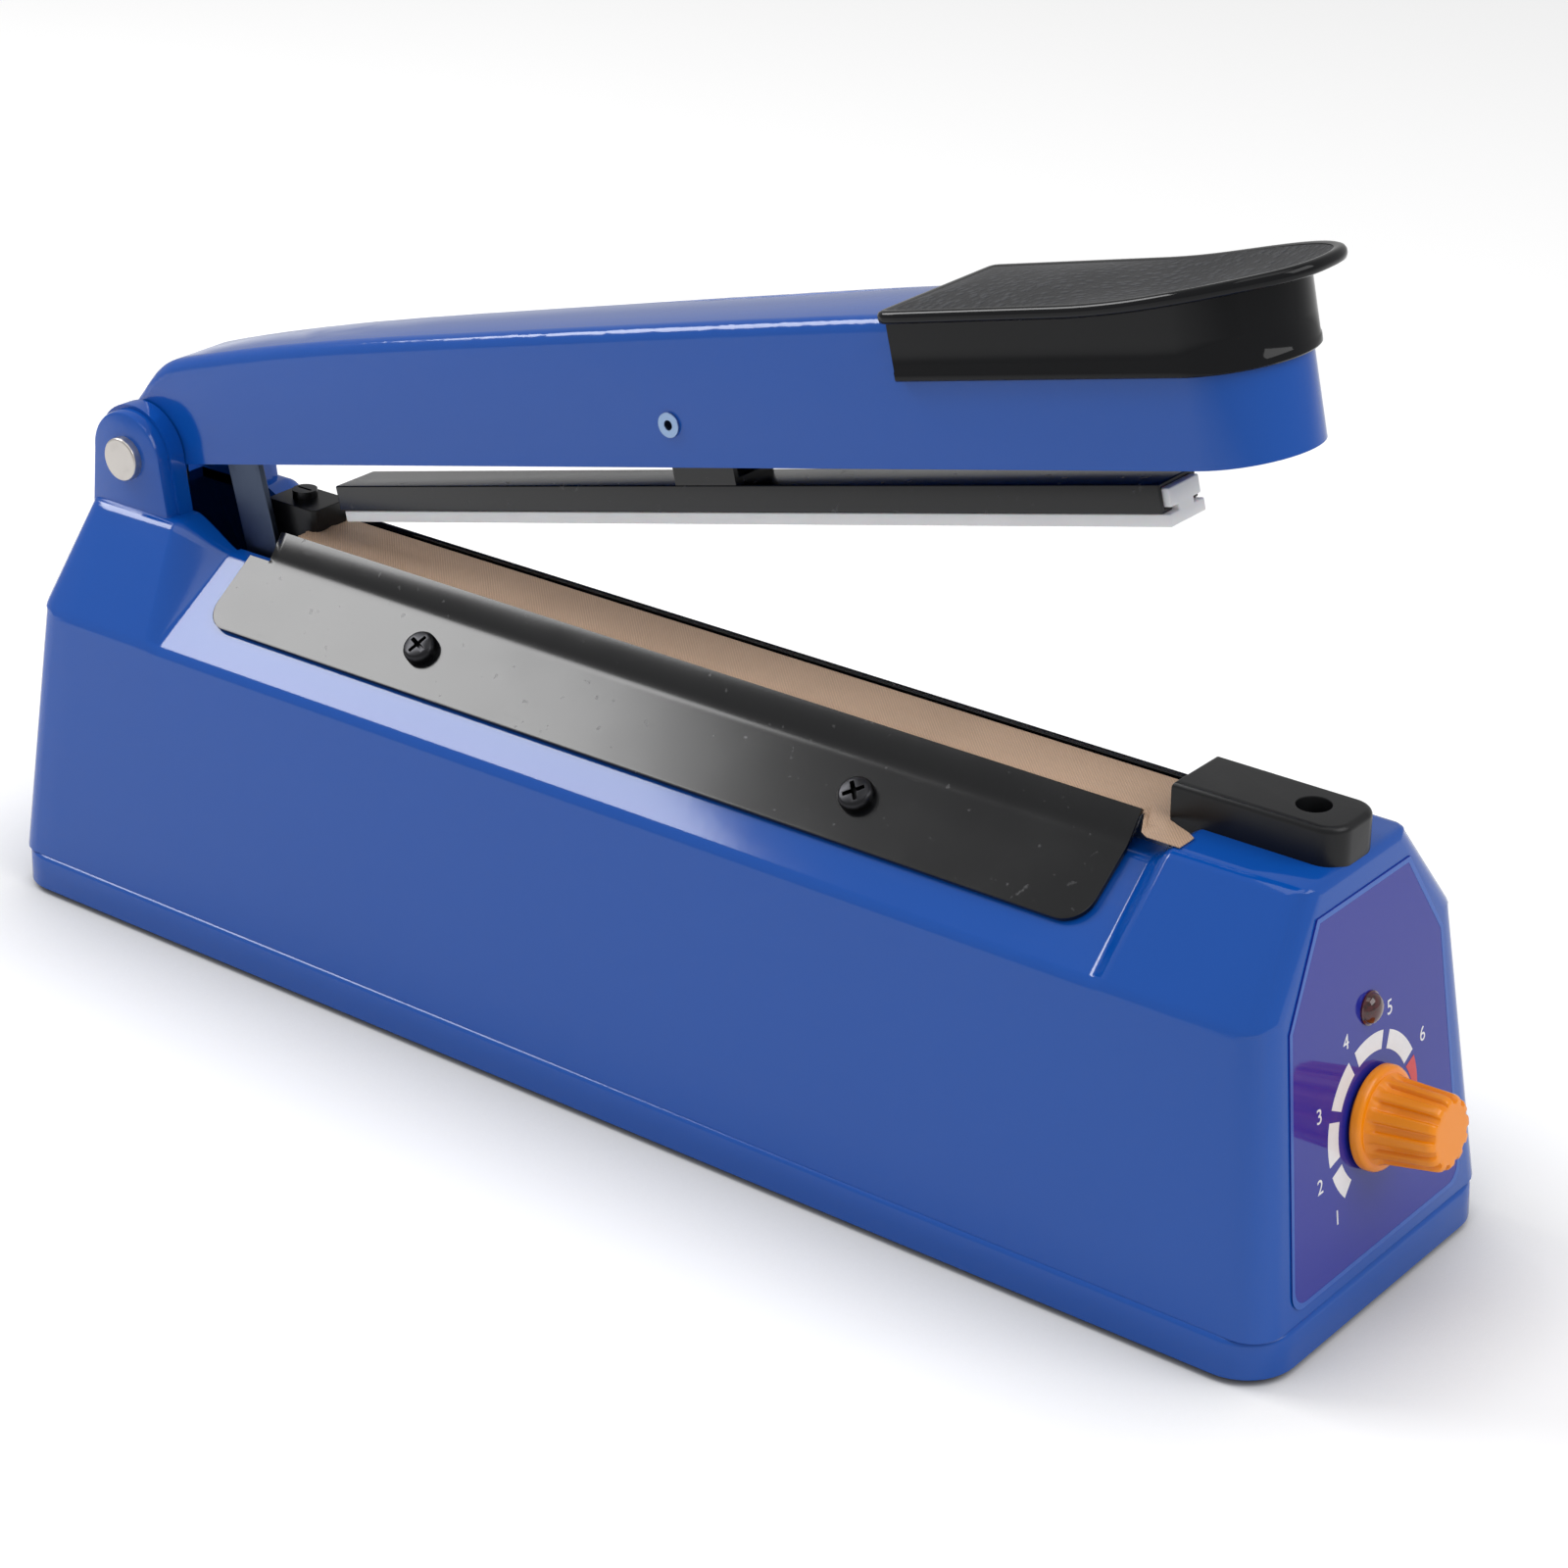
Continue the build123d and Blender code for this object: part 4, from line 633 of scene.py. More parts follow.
def stamped(name, source_mesh, points, material, body, replaces=(), turn=0.0):
    """Copies of a shape on points with normals, through a node tree."""
    source = linked(name + "_source", as_data(name + "_source", facing_out(source_mesh)))
    cloud = bpy.data.meshes.new(name)
    cloud.from_pydata([tuple(p) for p, _ in points], [], [])
    attribute = cloud.attributes.new("stamp_normal", "FLOAT_VECTOR", "POINT")
    attribute.data.foreach_set("vector", [v for _, n in points for v in n])
    made = linked(name, cloud)
    tree = stamp_tree(name + "_tree", source, ("Size", "Turn"))
    modifier = made.modifiers.new("Stamp", "NODES")
    modifier.node_group = tree
    keys = {item.name: item.identifier for item in tree.interface.items_tree
            if item.item_type == "SOCKET" and item.in_out == "INPUT"}
    modifier[keys["Size"]] = MM
    modifier[keys["Turn"]] = turn
    modifier[keys["Material"]] = MATERIALS[material]
    settle(made, material, body, replaces)
    bpy.data.objects.remove(source)


# ------------------------------------------------------------ the base

TRAY_X, TRAY_Y = 170.5, 42.5
FOOT_PLACES, SCREW_PLACES = (153.5, 25.5, 0.0), (136.5, 28.5, 1.6)
FOOT_X, FOOT_Y, FOOT_Z = 169.5, 41.5, 8.5
SHOULDER_X, SHOULDER_Y, SHOULDER_Z = 162.534, 35.476, 67.8
TOWER_Z = 90.2
TOWER_X = {-1: 161.3, 1: 159.9}
SADDLE_Z = 84.0
WELL_X, WELL_HALF, WELL_BEHIND = -121.53, 10.5, 5.8
WELL_FLOOR, WELL_OPEN = SHOULDER_Z - 2.4, 99.0
SWITCH_SLOT = (15.6, -9.4, -4.7)
INLET_Z, INLET_R = 24.0, 6.5
STEP_COUNT = 22
# Each step: side, shoulder x, lean at its foot and head, run, hollow and round.
STEPS_UP = ((1, 125.53, -1.5, 2.5, 1.4, 1.6, 4.0),
            (-1, -124.0, 1.0, -6.5, 1.6, 1.8, 5.0))


# The hollow's stations: x at the shoulder, lean, and how far up the step.
HOLLOW = ((-SHOULDER_X, 0.0, 1.0), (-154.0, 0.0, 1.0), (-132.0, -5.0, 1.0), (-127.0, -5.0, 0.0),
          (127.0, 3.0, 0.0), (132.0, 3.0, 1.0), (154.0, 0.0, 1.0), (SHOULDER_X, 0.0, 1.0))


def ease(distance, width):
    """Zero before 0 and rising by one to one after it, eased over a width."""
    if distance <= -width / 2:
        return 0.0
    if distance >= width / 2:
        return distance
    return (distance + width / 2) ** 2 / (2 * width)


def step_share(distance, run, concave, convex):
    """How far up a step a place is: eased at its foot and rounded at its head."""
    return min(1.0, max(0.0, (ease(distance, concave) - ease(distance - run, convex)) / run))


def base_stations():
    """Places along the base where its section is drawn: x at the shoulder, lean, share."""
    stations = []
    for side, foot, low_lean, high_lean, run, concave, convex in STEPS_UP:
        reach = concave / 2 + run + convex / 2
        for i in range(STEP_COUNT + 1):
            distance = -concave / 2 + reach * i / STEP_COUNT
            share = step_share(distance, run, concave, convex)
            stations.append((foot + side * (distance - run / 2),
                             low_lean + (high_lean - low_lean) * share, share))
    left = sorted(item for item in stations if item[0] < 0)
    right = sorted(item for item in stations if item[0] > 0)
    middle = [(-100.0, 2.0, 0.0), (-60.0, 0.0, 0.0), (0.0, 0.0, 0.0), (60.0, 0.0, 0.0),
              (104.0, -1.0, 0.0)]
    return ([(-SHOULDER_X, 0.0, 1.0), (-150.0, -2.0, 1.0), (-138.0, -5.0, 1.0)] + left + middle
            + right + [(144.0, 1.5, 1.0), (SHOULDER_X, 0.0, 1.0)])


def end_of(index, rows):
    """Which end of the base a station is at: -1, 1, or 0 between them."""
    return -1 if index == 0 else 1 if index == len(rows) - 1 else 0


def base_section(x, lean, share, end=0):
    """One half of the outer section, foot to crest, as (x, y, z) going up."""
    crest_z = SADDLE_Z + (TOWER_Z - SADDLE_Z) * share
    half_saddle = sizes().crest_width / MM / 2
    half_tower = sizes().tower_width / MM / 2
    crest_y = half_saddle + (half_tower - half_saddle) * share
    if end:
        return [(end * FOOT_X, FOOT_Y, FOOT_Z), (end * SHOULDER_X, SHOULDER_Y, SHOULDER_Z),
                (end * TOWER_X[end], crest_y, crest_z)]
    foot_x = x * FOOT_X / SHOULDER_X
    return [(foot_x, FOOT_Y, FOOT_Z), (x, SHOULDER_Y, SHOULDER_Z), (x + lean, crest_y, crest_z)]


def both_sides(half):
    """A whole ring from one half of a section."""
    return ([Vector((a, -b, c)) for a, b, c in half]
            + [Vector((a, b, c)) for a, b, c in reversed(half)])


def base_cage():
    """The base's outer skin as a cage with weighted edges."""
    mesh = bmesh.new()
    weight = mesh.edges.layers.float.new("bevel_weight_edge")
    rings = []
    stations = base_stations()
    for index, station in enumerate(stations):
        rings.append(both_sides(base_section(*station, end_of(index, stations))))
    loops = bridge(mesh, rings)
    for (low, high), (one, two) in zip(zip(loops, loops[1:]), zip(stations, stations[1:])):
        crest = 0.14 + 0.06 * (one[2] + two[2]) / 2
        for row, share in {1: 0.16, 2: crest, 3: crest, 4: 0.16}.items():
            mesh.edges.get((low[row], high[row]))[weight] = share
    for loop in (loops[0], loops[-1]):
        for row, share in enumerate((0.7, 0.5, 0.2, 0.5, 0.7)):
            mesh.edges.get((loop[row], loop[row + 1]))[weight] = share
    return mesh


def base_hollow(wall):
    """The hollow inside the moulding, one wall thinner all round and open below."""
    mesh = bmesh.new()
    rings = []
    for index, station in enumerate(HOLLOW):
        end = end_of(index, HOLLOW)
        (fx, fy, _), (sx, sy, sz), (cx, cy, cz) = base_section(*station, end)
        side = wall + 7.0 * abs(end)
        rings.append(both_sides([
            (fx - end * wall, fy - side, -4.0),
            (sx - end * wall, sy - side, sz - 0.35 * wall - 0.3 * side),
            (cx - end * wall, cy - 0.35 * wall - 2.0 * abs(end), cz - wall)]))
    bridge(mesh, rings)
    return mesh


EAR_FLARE = 1.9
# Each layer of an ear: its radius, inner face, outer face and edge rounding.
EAR_LAYERS = ((11.5, 10.5, 14.5, 0.0), (10.6, 14.5, 17.5, 0.9))


def ear_mesh(side):
    """One hinge ear, an arch in two layers."""
    mesh = bmesh.new()
    foot = TOWER_Z - 2.4 - PIN_Z
    for radius, inner, outer, flat in EAR_LAYERS:
        turns = [pi - pi * i / 28 for i in range(29)]
        arch = [(-radius - EAR_FLARE, foot)]
        arch += [(radius * cos(turn), radius * sin(turn)) for turn in turns]
        arch += [(radius + EAR_FLARE, foot)]
        rings = []
        for y, grow in ((inner, 0.0), (outer - flat, 0.0), (outer - 0.25 * flat, -0.3 * flat),
                        (outer, -0.9 * flat)):
            scale = (radius + grow) / radius
            rings.append([Vector((PIN_X + a * scale, side * y, PIN_Z + (b * scale if b > 0 else b)))
                          for a, b in arch])
        bridge(mesh, rings)
    return mesh


def build_housing():
    """The moulded base with its towers, ears, hinge well and inlet hole."""
    wall = sizes().wall / MM
    made = piece("housing_shell", base_cage(), "body", "base", BASE, ("base_housing", "base_deck"),
                 modifiers=[("BEVEL", {"width": sizes().corner_round, "segments": 6,
                                       "limit_method": "WEIGHT", "use_clamp_overlap": False})])
    inlet = bmesh.new()
    bridge(inlet, [circle(INLET_R, z, 40) for z in (-8.0, 8.0)])
    inlet_x = -FOOT_X + (INLET_Z - FOOT_Z) * sin(END_DRAFT) / cos(END_DRAFT)
    inlet_place = (BASE @ Matrix.Translation((inlet_x, 0, INLET_Z))
                   @ Matrix.Rotation(-pi / 2 + END_DRAFT, 4, "Y"))
    slot_run, slot_near, slot_far = SWITCH_SLOT
    well = box_mesh((PIN_X - WELL_BEHIND, -WELL_HALF, WELL_FLOOR), (WELL_X, WELL_HALF, WELL_OPEN))
    slot = box_mesh((WELL_X - 0.5, slot_near, WELL_FLOOR), (WELL_X + slot_run, slot_far, WELL_OPEN))
    cut(made, [(base_hollow(wall), BASE), (well, BASE), (slot, BASE), (inlet, inlet_place)])
    ears = bmesh.new()
    ears.from_mesh(made.data)
    for side in (-1, 1):
        data = as_data("ear", facing_out(ear_mesh(side), BASE))
        ears.from_mesh(data)
        bpy.data.meshes.remove(data)
    ears.to_mesh(made.data)
    ears.free()
    smoothed(made, 30)


def build_tray():
    """The plinth tray under the base, with a softly rounded top edge."""
    outer = ((0.5, 0.0), (0.0, 0.5), (0.1, 4.0), (0.25, 7.4), (0.45, 7.95), (0.75, 8.3),
             (1.15, 8.5))
    inner = ((3.4, 8.5), (3.6, 8.3), (3.6, 2.2))
    mesh = bmesh.new()
    bridge(mesh, [rounded_loop(TRAY_X - a, TRAY_Y - a, 11.0 - a * share, 10, z)
                  for share, profile in ((0.5, outer), (1.0, inner)) for a, z in profile])
    piece("plinth_tray", mesh, "tray", "base", BASE, ("bottom_cover",))


def four(x, y, z, normal):
    """A point with its normal at each corner of the tray."""
    return [(BASE @ Vector((sx * x, sy * y, z)), Vector(normal))
            for sx in (-1, 1) for sy in (-1, 1)]


def build_feet_and_screws():
    """Feet and cover screws under the tray, through one node tree each."""
    foot = bmesh.new()
    bridge(foot, [circle(r, z, 36) for r, z in ((6.3, -1.0), (6.8, -0.8), (7.0, -0.4), (7.0, 1.6))])
    stamped("rubber_feet", foot, four(*FOOT_PLACES, (0, 0, 1)), "rubber", "base",
            tuple(f"rubber_foot_{i}" for i in range(1, 5)))
    screw = cross_screw(3.0, 1.4, 1.5, 10.0, 0.0)
    stamped("cover_screws", screw, four(*SCREW_PLACES, (0, 0, -1)), "nickel", "base",
            tuple(f"cover_screw_{i}" for i in range(1, 5)), turn=2.0)


def cross_screw(radius, height, shank, length, dome=0.6):
    """A round-headed screw with a cross recess, standing on z = 0."""
    count = 32
    mesh = bmesh.new()
    profile = [(shank, -length), (shank, 0.0), (radius, 0.0), (radius, height * (1 - dome))]
    profile += [(radius * (1 - 0.42 * dome * (1 - cos(t))),
                 height * (1 - dome) + height * dome * sin(t)) for t in (0.5, 1.0, 1.5)]
    rings = [circle(r, z, count) for r, z in profile]
    top = profile[-1]
    arm, half, depth = radius * 0.62, radius * 0.13, height * 0.75
    flat = []
    for i in range(count):
        turn = tau * i / count
        along = max(abs(cos(turn)), abs(sin(turn)))
        across = min(abs(cos(turn)), abs(sin(turn)))
        reach = arm if across < half / arm else half / max(across, 1e-6)
        flat.append(Vector((reach * cos(turn), reach * sin(turn), top[1])))
    rings.append(flat)
    rings.append([Vector((p.x * 0.8, p.y * 0.8, top[1] - depth)) for p in flat])
    bridge(mesh, rings)
    return mesh


# ------------------------------------------------------------ the sealing bed

CREASE_Y, CREASE_Z = -13.15, CLOTH_TOP - 5.0
WING, PLATE_CORNER, PLATE_SHEET = 19.0, 6.0, 1.0


def wing_slope():
    """The direction down the saddle's side, across the base."""
    half_saddle = sizes().crest_width / MM / 2
    return Vector((0, -(SHOULDER_Y - half_saddle), -(SADDLE_Z - SHOULDER_Z))).normalized()


def plate_mesh(sign):
    """One clamp plate: a steep flange beside the cloth and a wing down the saddle."""
    left, right = span("clamp_plate_near")
    slope = wing_slope()
    crease = Vector((CREASE_Y, CREASE_Z))
    crest = Vector((-9.0, CLOTH_TOP + 0.7))
    along = Vector((slope.y, slope.z))
    rise = (crest - crease).normalized()
    corner, flange_left, bend = PLATE_CORNER, left + 6.0, 1.1
    stations = [left + corner * (1 - cos(pi / 2 * i / 10)) for i in range(11)]
    stations += [flange_left + 0.02] + [left + 8 + (right - left - 16) * i / 24 for i in range(25)]
    stations += [right - corner * (1 - sin(pi / 2 * i / 10)) for i in range(11)]
    rings = []
    for x in sorted(stations):
        inset = max(0.0, corner - min(x - left, right - x))
        length = WING - corner + (max(0.0, corner * corner - inset * inset)) ** 0.5
        path = [crest, crease + rise * (bend + 0.5), crease + rise * bend,
                crease + (rise + along) * bend * 0.28, crease + along * bend,
                crease + along * (bend + 0.5), crease + along * (length - 0.6),
                crease + along * length]
        wing_down = Vector((-along.y, along.x))
        down = [Vector((-rise.y, rise.x))] * 3 + [Vector((0, -1))] + [wing_down] * 4
        if x <= flange_left:
            path[:4] = [crease + along * t for t in (0.05, 0.07, 0.09, 0.11)]
            down = [wing_down] * 8
        under = [p + (n if n.y < 0 else -n) * PLATE_SHEET for p, n in zip(path, down)]
        rings.append([Vector((x, -sign * q.x, q.y)) for q in path + under[::-1]])
    mesh = bmesh.new()
    bridge(mesh, rings)
    return mesh


def build_clamps():
    """Two bent plates, their screws, and the end cap over the element."""
    slope = wing_slope()
    normal = Vector((0, slope.z, -slope.y))
    normal *= 1 if normal.z > 0 else -1
    points, nodes = [], []
    for word, side in (("near", -1), ("far", 1)):
        piece(f"clamp_strip_{word}", plate_mesh(side), "enamel", "base", BASE,
              (f"clamp_plate_{word}",), 50, modifiers=[eased(0.22, 2, 50)])
        for number in (1, 2):
            nodes.append(f"clamp_screw_{word}_{number}")
            spot = Vector((sum(span(nodes[-1])) / 2, CREASE_Y, CREASE_Z)) + slope * (WING * 0.45)
            points.append((BASE @ Vector((spot.x, -side * spot.y, spot.z)),
                           Vector((0, -side * normal.y, normal.z))))
    stamped("clamp_screws", cross_screw(3.8, 2.4, 2.0, 9.0), points, "screw", "base", tuple(nodes),
            turn=1.6)
    softened("end_cap", "element_end_cap", "black", "base", "black_plastic", 0.35, 20.0)


CLOTH_TAIL, CLOTH_HALF, CLOTH_SHEET = 2.2, 8.05, 0.16
CLOTH_RUN, CLOTH_ACROSS = 170, 28
BED_HALF = 7.35
FLAP, FLAP_NEAR, FLAP_FAR = 8.5, 9.4, 1.2


def build_cloth():
    """The non-stick cloth: stretched over the bed, loose and frayed at its ends."""
    left, right = span("ptfe_cloth")
    left -= CLOTH_TAIL
    plate_end = span("clamp_plate_near")[1] + 0.5
    rings = []
    for station in range(CLOTH_RUN + 1):
        x = left + (right - left) * station / CLOTH_RUN
        loose_left = smoothstep((left + 9 - x) / 9)
        loose_right = smoothstep((x - (right - FLAP)) / FLAP)
        loose = min(1.0, 1.9 * max(loose_left, loose_right))
        fray = 0.35 * noise.noise(Vector((x * 3.1, 0.0, 2.0))) * loose_left
        beyond = max(0.0, (x - plate_end) / (right - plate_end))
        spread = smoothstep(beyond * 3.0)
        ring = []
        for i in range(CLOTH_ACROSS + 1):
            share = 2 * i / CLOTH_ACROSS - 1
            wider = (FLAP_NEAR if share < 0 else FLAP_FAR) * spread
            y = share * (CLOTH_HALF + 0.7 * loose_left + wider + fray)
            edge = max(0.0, abs(y) - BED_HALF)
            drop = min(edge, 0.38) ** 0.5 * 0.35
            drop += max(0.0, edge - 0.38) * (0.5 * loose + 9.0 * (1 - loose) ** 3)
            wrinkle = 0.16 * noise.noise(Vector((x * 0.09, y * 0.35, 5.0)))
            wrinkle *= (1 - abs(share)) ** 0.5
            wave = 0.5 * noise.noise(Vector((x * 0.4, y * 0.4, 9.0)))
            wave *= loose_left + 0.35 * loose_right * abs(share)
            jag = 0.0 if station else 1.3 * noise.noise(Vector((y * 2.3, 1.0, 0.0)))
            flap = FLAP * beyond * smoothstep((-y - 7.8) / 5.0)
            height = CLOTH_TOP - 0.1 - drop + wrinkle * 0.4 + max(-0.2, wave)
            if spread > 0.0:
                height = max(height, TOWER_Z + 0.3 - 4.0 * (1.0 - spread))
            ring.append(Vector((x + jag + flap, y, height)))
        rings.append(ring)
    mesh = bmesh.new()
    bridge(mesh, rings, closed=False, start=False, end=False)
    made = piece("cloth_strip", mesh, "cloth", "base", BASE, ("ptfe_cloth",), 60,
                 modifiers=[("SOLIDIFY", {"thickness": CLOTH_SHEET * MM, "offset": 0.0})])


# ------------------------------------------------------------ arm and bar

ARM_LENGTH, NOSE_R, CAP_REAR = 300.0, 15.0, 221.0


def arm_half(x):
    """Half the arm's width, which grows toward the nose."""
    share = max(0.0, min(1.0, x / (ARM_LENGTH - NOSE_R)))
    return 10.0 + 5.0 * share


def rim_height(x):
    """Top of the palm pad's rim: level at the back, swept up at the front."""
    return 27.7 + 3.3 * smoothstep((x - 262.0) / 52.0)


def lip_outline():
    """The palm pad seen from above, anticlockwise, with outward normals."""
    half = NOSE_R + 1.5 + sizes().cap_overhang / MM
    tip = ARM_LENGTH + 8.7
    rear, shoulder = CAP_REAR, 276.0
    near = []
    for i in range(4):
        turn = radians(180 + 90 * i / 3)
        near.append(Vector((rear + 2.5 + 2.5 * cos(turn), -half + 2.5 + 2.5 * sin(turn), 0)))
    near += [Vector((rear + 2.5 + (shoulder - rear - 2.5) * i / 16, -half, 0))
             for i in range(1, 17)]
    for i in range(1, 25):
        turn = pi / 2 * i / 24
        near.append(Vector((shoulder + (tip - shoulder) * sin(turn) ** 0.92,
                            -half * max(0.0, cos(turn)) ** 0.78, 0)))
    points = near + [Vector((p.x, -p.y, 0)) for p in reversed(near[:-1])]
    count = len(points)
    normals = []
    for i in range(count):
        run = points[(i + 1) % count] - points[i - 1]
        normals.append(Vector((run.y, -run.x, 0)).normalized())
    return points, normals


def pad_height(x, share):
    """Height over the rim across the pad: crowned behind, dished in front."""
    front = smoothstep((x - 248.0) / 34.0)
    return (1.5 * (1 - front) - 2.3 * front) * (1 - (1 - share) ** 2)


RIM = ((4.6, -1.6), (4.5, -2.3), (2.9, -2.5), (0.9, -2.5), (0.25, -2.2), (0.0, -1.5), (0.05, -0.8),
       (0.4, -0.25), (1.0, 0.0), (1.7, -0.02), (2.3, -0.2))


def build_handle():
    """The moulded handle: a glossy skirt, a rolled rim and a grained palm pad."""
    points, normals = lip_outline()
    rim, pad = bmesh.new(), bmesh.new()
    bridge(rim, [[Vector((p.x - n.x * a, p.y - n.y * a, rim_height(p.x) + b))
                  for p, n in zip(points, normals)] for a, b in RIM], start=False, end=False)
    inset, sunk = RIM[-1]
    rings = []
    for share in (k / 14 for k in range(15)):
        ring = []
        for p, n in zip(points, normals):
            edge = Vector((p.x - n.x * inset, p.y - n.y * inset, 0))
            centre = Vector((max(CAP_REAR + 14.0, min(292.0, edge.x)), 0, 0))
            q = edge.lerp(centre, share)
            ring.append(Vector((q.x, q.y, rim_height(q.x) + sunk + pad_height(q.x, share))))
        rings.append(ring)
    bridge(pad, rings, start=False, end=False)
    piece("handle_pad", pad, "pad", "arm", ARM, (), 70)
    piece("handle_rim", rim, "skirt", "arm", ARM, ("handle_cap",), 60)
    build_skirt()


def skirt_outline(offset):
    """The skirt's path round the nose, from the near rear corner to the far one."""
    centre = ARM_LENGTH - NOSE_R
    rear = [CAP_REAR + (centre - CAP_REAR) * i / 12 for i in range(13)]
    path = [(x, -(arm_half(x) + offset)) for x in rear]
    radius = NOSE_R + offset
    path += [(centre + radius * sin(pi * i / 36), -radius * cos(pi * i / 36)) for i in range(1, 37)]
    path += [(x, -y) for x, y in reversed(path[:12])]
    return path


SKIRT_TOP = 25.9
SKIRT = ((0.0, 13.7), (1.3, 13.6), (1.6, 13.9), (1.62, 15.3), (1.42, 15.6), (1.45, 20.0),
         (1.5, SKIRT_TOP), (0.02, SKIRT_TOP))


def build_skirt():
    """The handle's side wall, with a rolled foot and its top under the rim."""
    paths = [skirt_outline(offset) for offset, _ in SKIRT]
    columns = []
    for places in zip(*paths):
        lift = rim_height(places[0][0]) - 1.7 - SKIRT_TOP
        columns.append([Vector((x, y, z + (lift if z == SKIRT_TOP else 0.0)))
                        for (x, y), (_, z) in zip(places, SKIRT)])
    mesh = bmesh.new()
    bridge(mesh, columns)
    piece("handle_skirt", mesh, "skirt", "arm", ARM, (), 40)


def prism_mesh(outline, start, end):
    """An outline of (y, z) points carried along X."""
    mesh = bmesh.new()
    bridge(mesh, [[Vector((x, y, z)) for y, z in outline] for x in (start, end)])
    return mesh


def both_ways(outside, inside):
    """A closed outline from the outer and inner points of its right half."""
    return ([(-y, z) for y, z in outside] + outside[::-1] + inside
            + [(-y, z) for y, z in inside[::-1]])


def build_bar():
    """The pressure bar's rolled channel and the silicone strip that it grips."""
    low, top, half, wall, neck = -20.1, -14.4, 6.0, 1.0, 2.5
    channel = both_ways([(neck, low), (half, low), (half, top)],
                        [(neck, low + wall), (half - wall, low + wall), (half - wall, top - wall)])
    piece("bar_channel", prism_mesh(channel, -107.5, 109.0), "bar", "bar", BAR, ("pressure_bar",),
          modifiers=[eased(0.35, 3, 30)])
    wide, gap, seam = 5.7, 0.05, low - 0.02
    stem, head = neck - gap, half - wall - gap
    tee = both_ways([(wide, seam), (wide, low - 2.5)],
                    [(stem, seam), (stem, low + wall + gap), (head, low + wall + gap),
                     (head, top - wall - gap)])
    piece("silicone_tee", prism_mesh(tee, -106.5, 110.4), "silicone", "bar", BAR,
          ("silicone_strip",), modifiers=[eased(0.3, 3, 30)])


# ------------------------------------------------------------ the timer end

DIAL_STEPS = ((226, "1"), (197, "2"), (157, "3"), (115, "4"), (70, "5"), (26, "6"))
RING_OUT, RING_IN, DIGIT_R = 16.6, 12.9, 20.7
PANEL_TOP = 0.3
DIAL_Z, LAMP_UP = 38.3, 22.35


def arc_patch(mesh, inner, outer, start, end, height, taper=0.0):
    """A flat arc segment, thick enough to stand just proud of the panel."""
    steps = max(3, int(abs(end - start) / 4))
    rings = []
    for i in range(steps + 1):
        share = i / steps
        turn = radians(start + (end - start) * share)
        low, high = inner + taper * share, outer - taper * share * 0.3
        rings.append([Vector((r * cos(turn), r * sin(turn), z))
                      for r, z in ((low, height - 0.05), (high, height - 0.05), (high, height),
                                   (low, height))])
    bridge(mesh, rings)


def panel_outline(inset):
    """The panel's outline on the end face, with rounded lower corners."""
    rise = 1 / cos(END_DRAFT)
    up = [(z - DIAL_Z) * rise for z in (11.0, 66.3, 84.6)]
    return [(31.04 - inset, up[0] + inset), (27.68 - inset, up[1] - inset * 0.2),
            (16.6 - inset * 0.8, up[2] - inset)]


def border_loop(inset, height):
    """The outline as one loop, with rounding at the lower corners."""
    (x0, y0), (x1, y1), (x2, y2) = panel_outline(inset)
    right = []
    radius = 3.6
    for i in range(7):
        turn = radians(-90 + 90 * i / 6)
        right.append((x0 - radius + radius * cos(turn), y0 + radius + radius * sin(turn)))
    right += [(x1, y1), (x2, y2)]
    loop = right + [(-x, y) for x, y in reversed(right)]
    return [Vector((x, y, height)) for x, y in loop]


def print_on_panel(name, mesh, ink):
    piece(name, mesh, ink, "base", END, (), 20)


def build_panel():
    """The glossy panel with its thin border, dial ring, red zone and numbers."""
    softened("panel_label", "timer_panel", "panel", "base", "panel_print")
    low, high = PANEL_TOP - 0.02, PANEL_TOP + 0.04
    border, ring, red, numbers = (bmesh.new() for _ in range(4))
    bridge(border, [border_loop(0.05, low), border_loop(0.05, high), border_loop(1.0, high),
                    border_loop(1.0, low)], start=False, end=False)
    print_on_panel("panel_border", border, "ink_blue")
    gap = 4.2
    for (start, _), (end, _) in zip(DIAL_STEPS[:-1], DIAL_STEPS[1:]):
        first = start - gap * (0 if start == DIAL_STEPS[0][0] else 1)
        last = end + gap * (1 if end != DIAL_STEPS[-1][0] else 0.3)
        arc_patch(ring, RING_IN, RING_OUT, first, last, PANEL_TOP + 0.05)
    print_on_panel("dial_ring", ring, "ink_white")
    arc_patch(red, RING_IN + 0.2, RING_OUT - 0.2, 22.5, -3.0, PANEL_TOP + 0.05, 1.4)
    print_on_panel("dial_red_zone", red, "ink_red")
    for turn, figure in DIAL_STEPS:
        add_figure(numbers, figure, DIGIT_R * cos(radians(turn)), DIGIT_R * sin(radians(turn)))
    print_on_panel("dial_numbers", numbers, "ink_white")


def add_figure(mesh, figure, x, y, size=4.3):
    """One plain number as a thin flat mesh, centred on a point of the panel."""
    curve = bpy.data.curves.new("figure", "FONT")
    curve.body = figure
    curve.size = size
    curve.extrude = 0.03
    curve.align_x, curve.align_y = "CENTER", "CENTER"
    holder = linked("figure", curve)
    data = evaluated(holder)
    data.transform(Matrix.Translation((x, y, PANEL_TOP + 0.03)))
    mesh.from_mesh(data)
    bpy.data.objects.remove(holder)
    bpy.data.curves.remove(curve)
    bpy.data.meshes.remove(data)


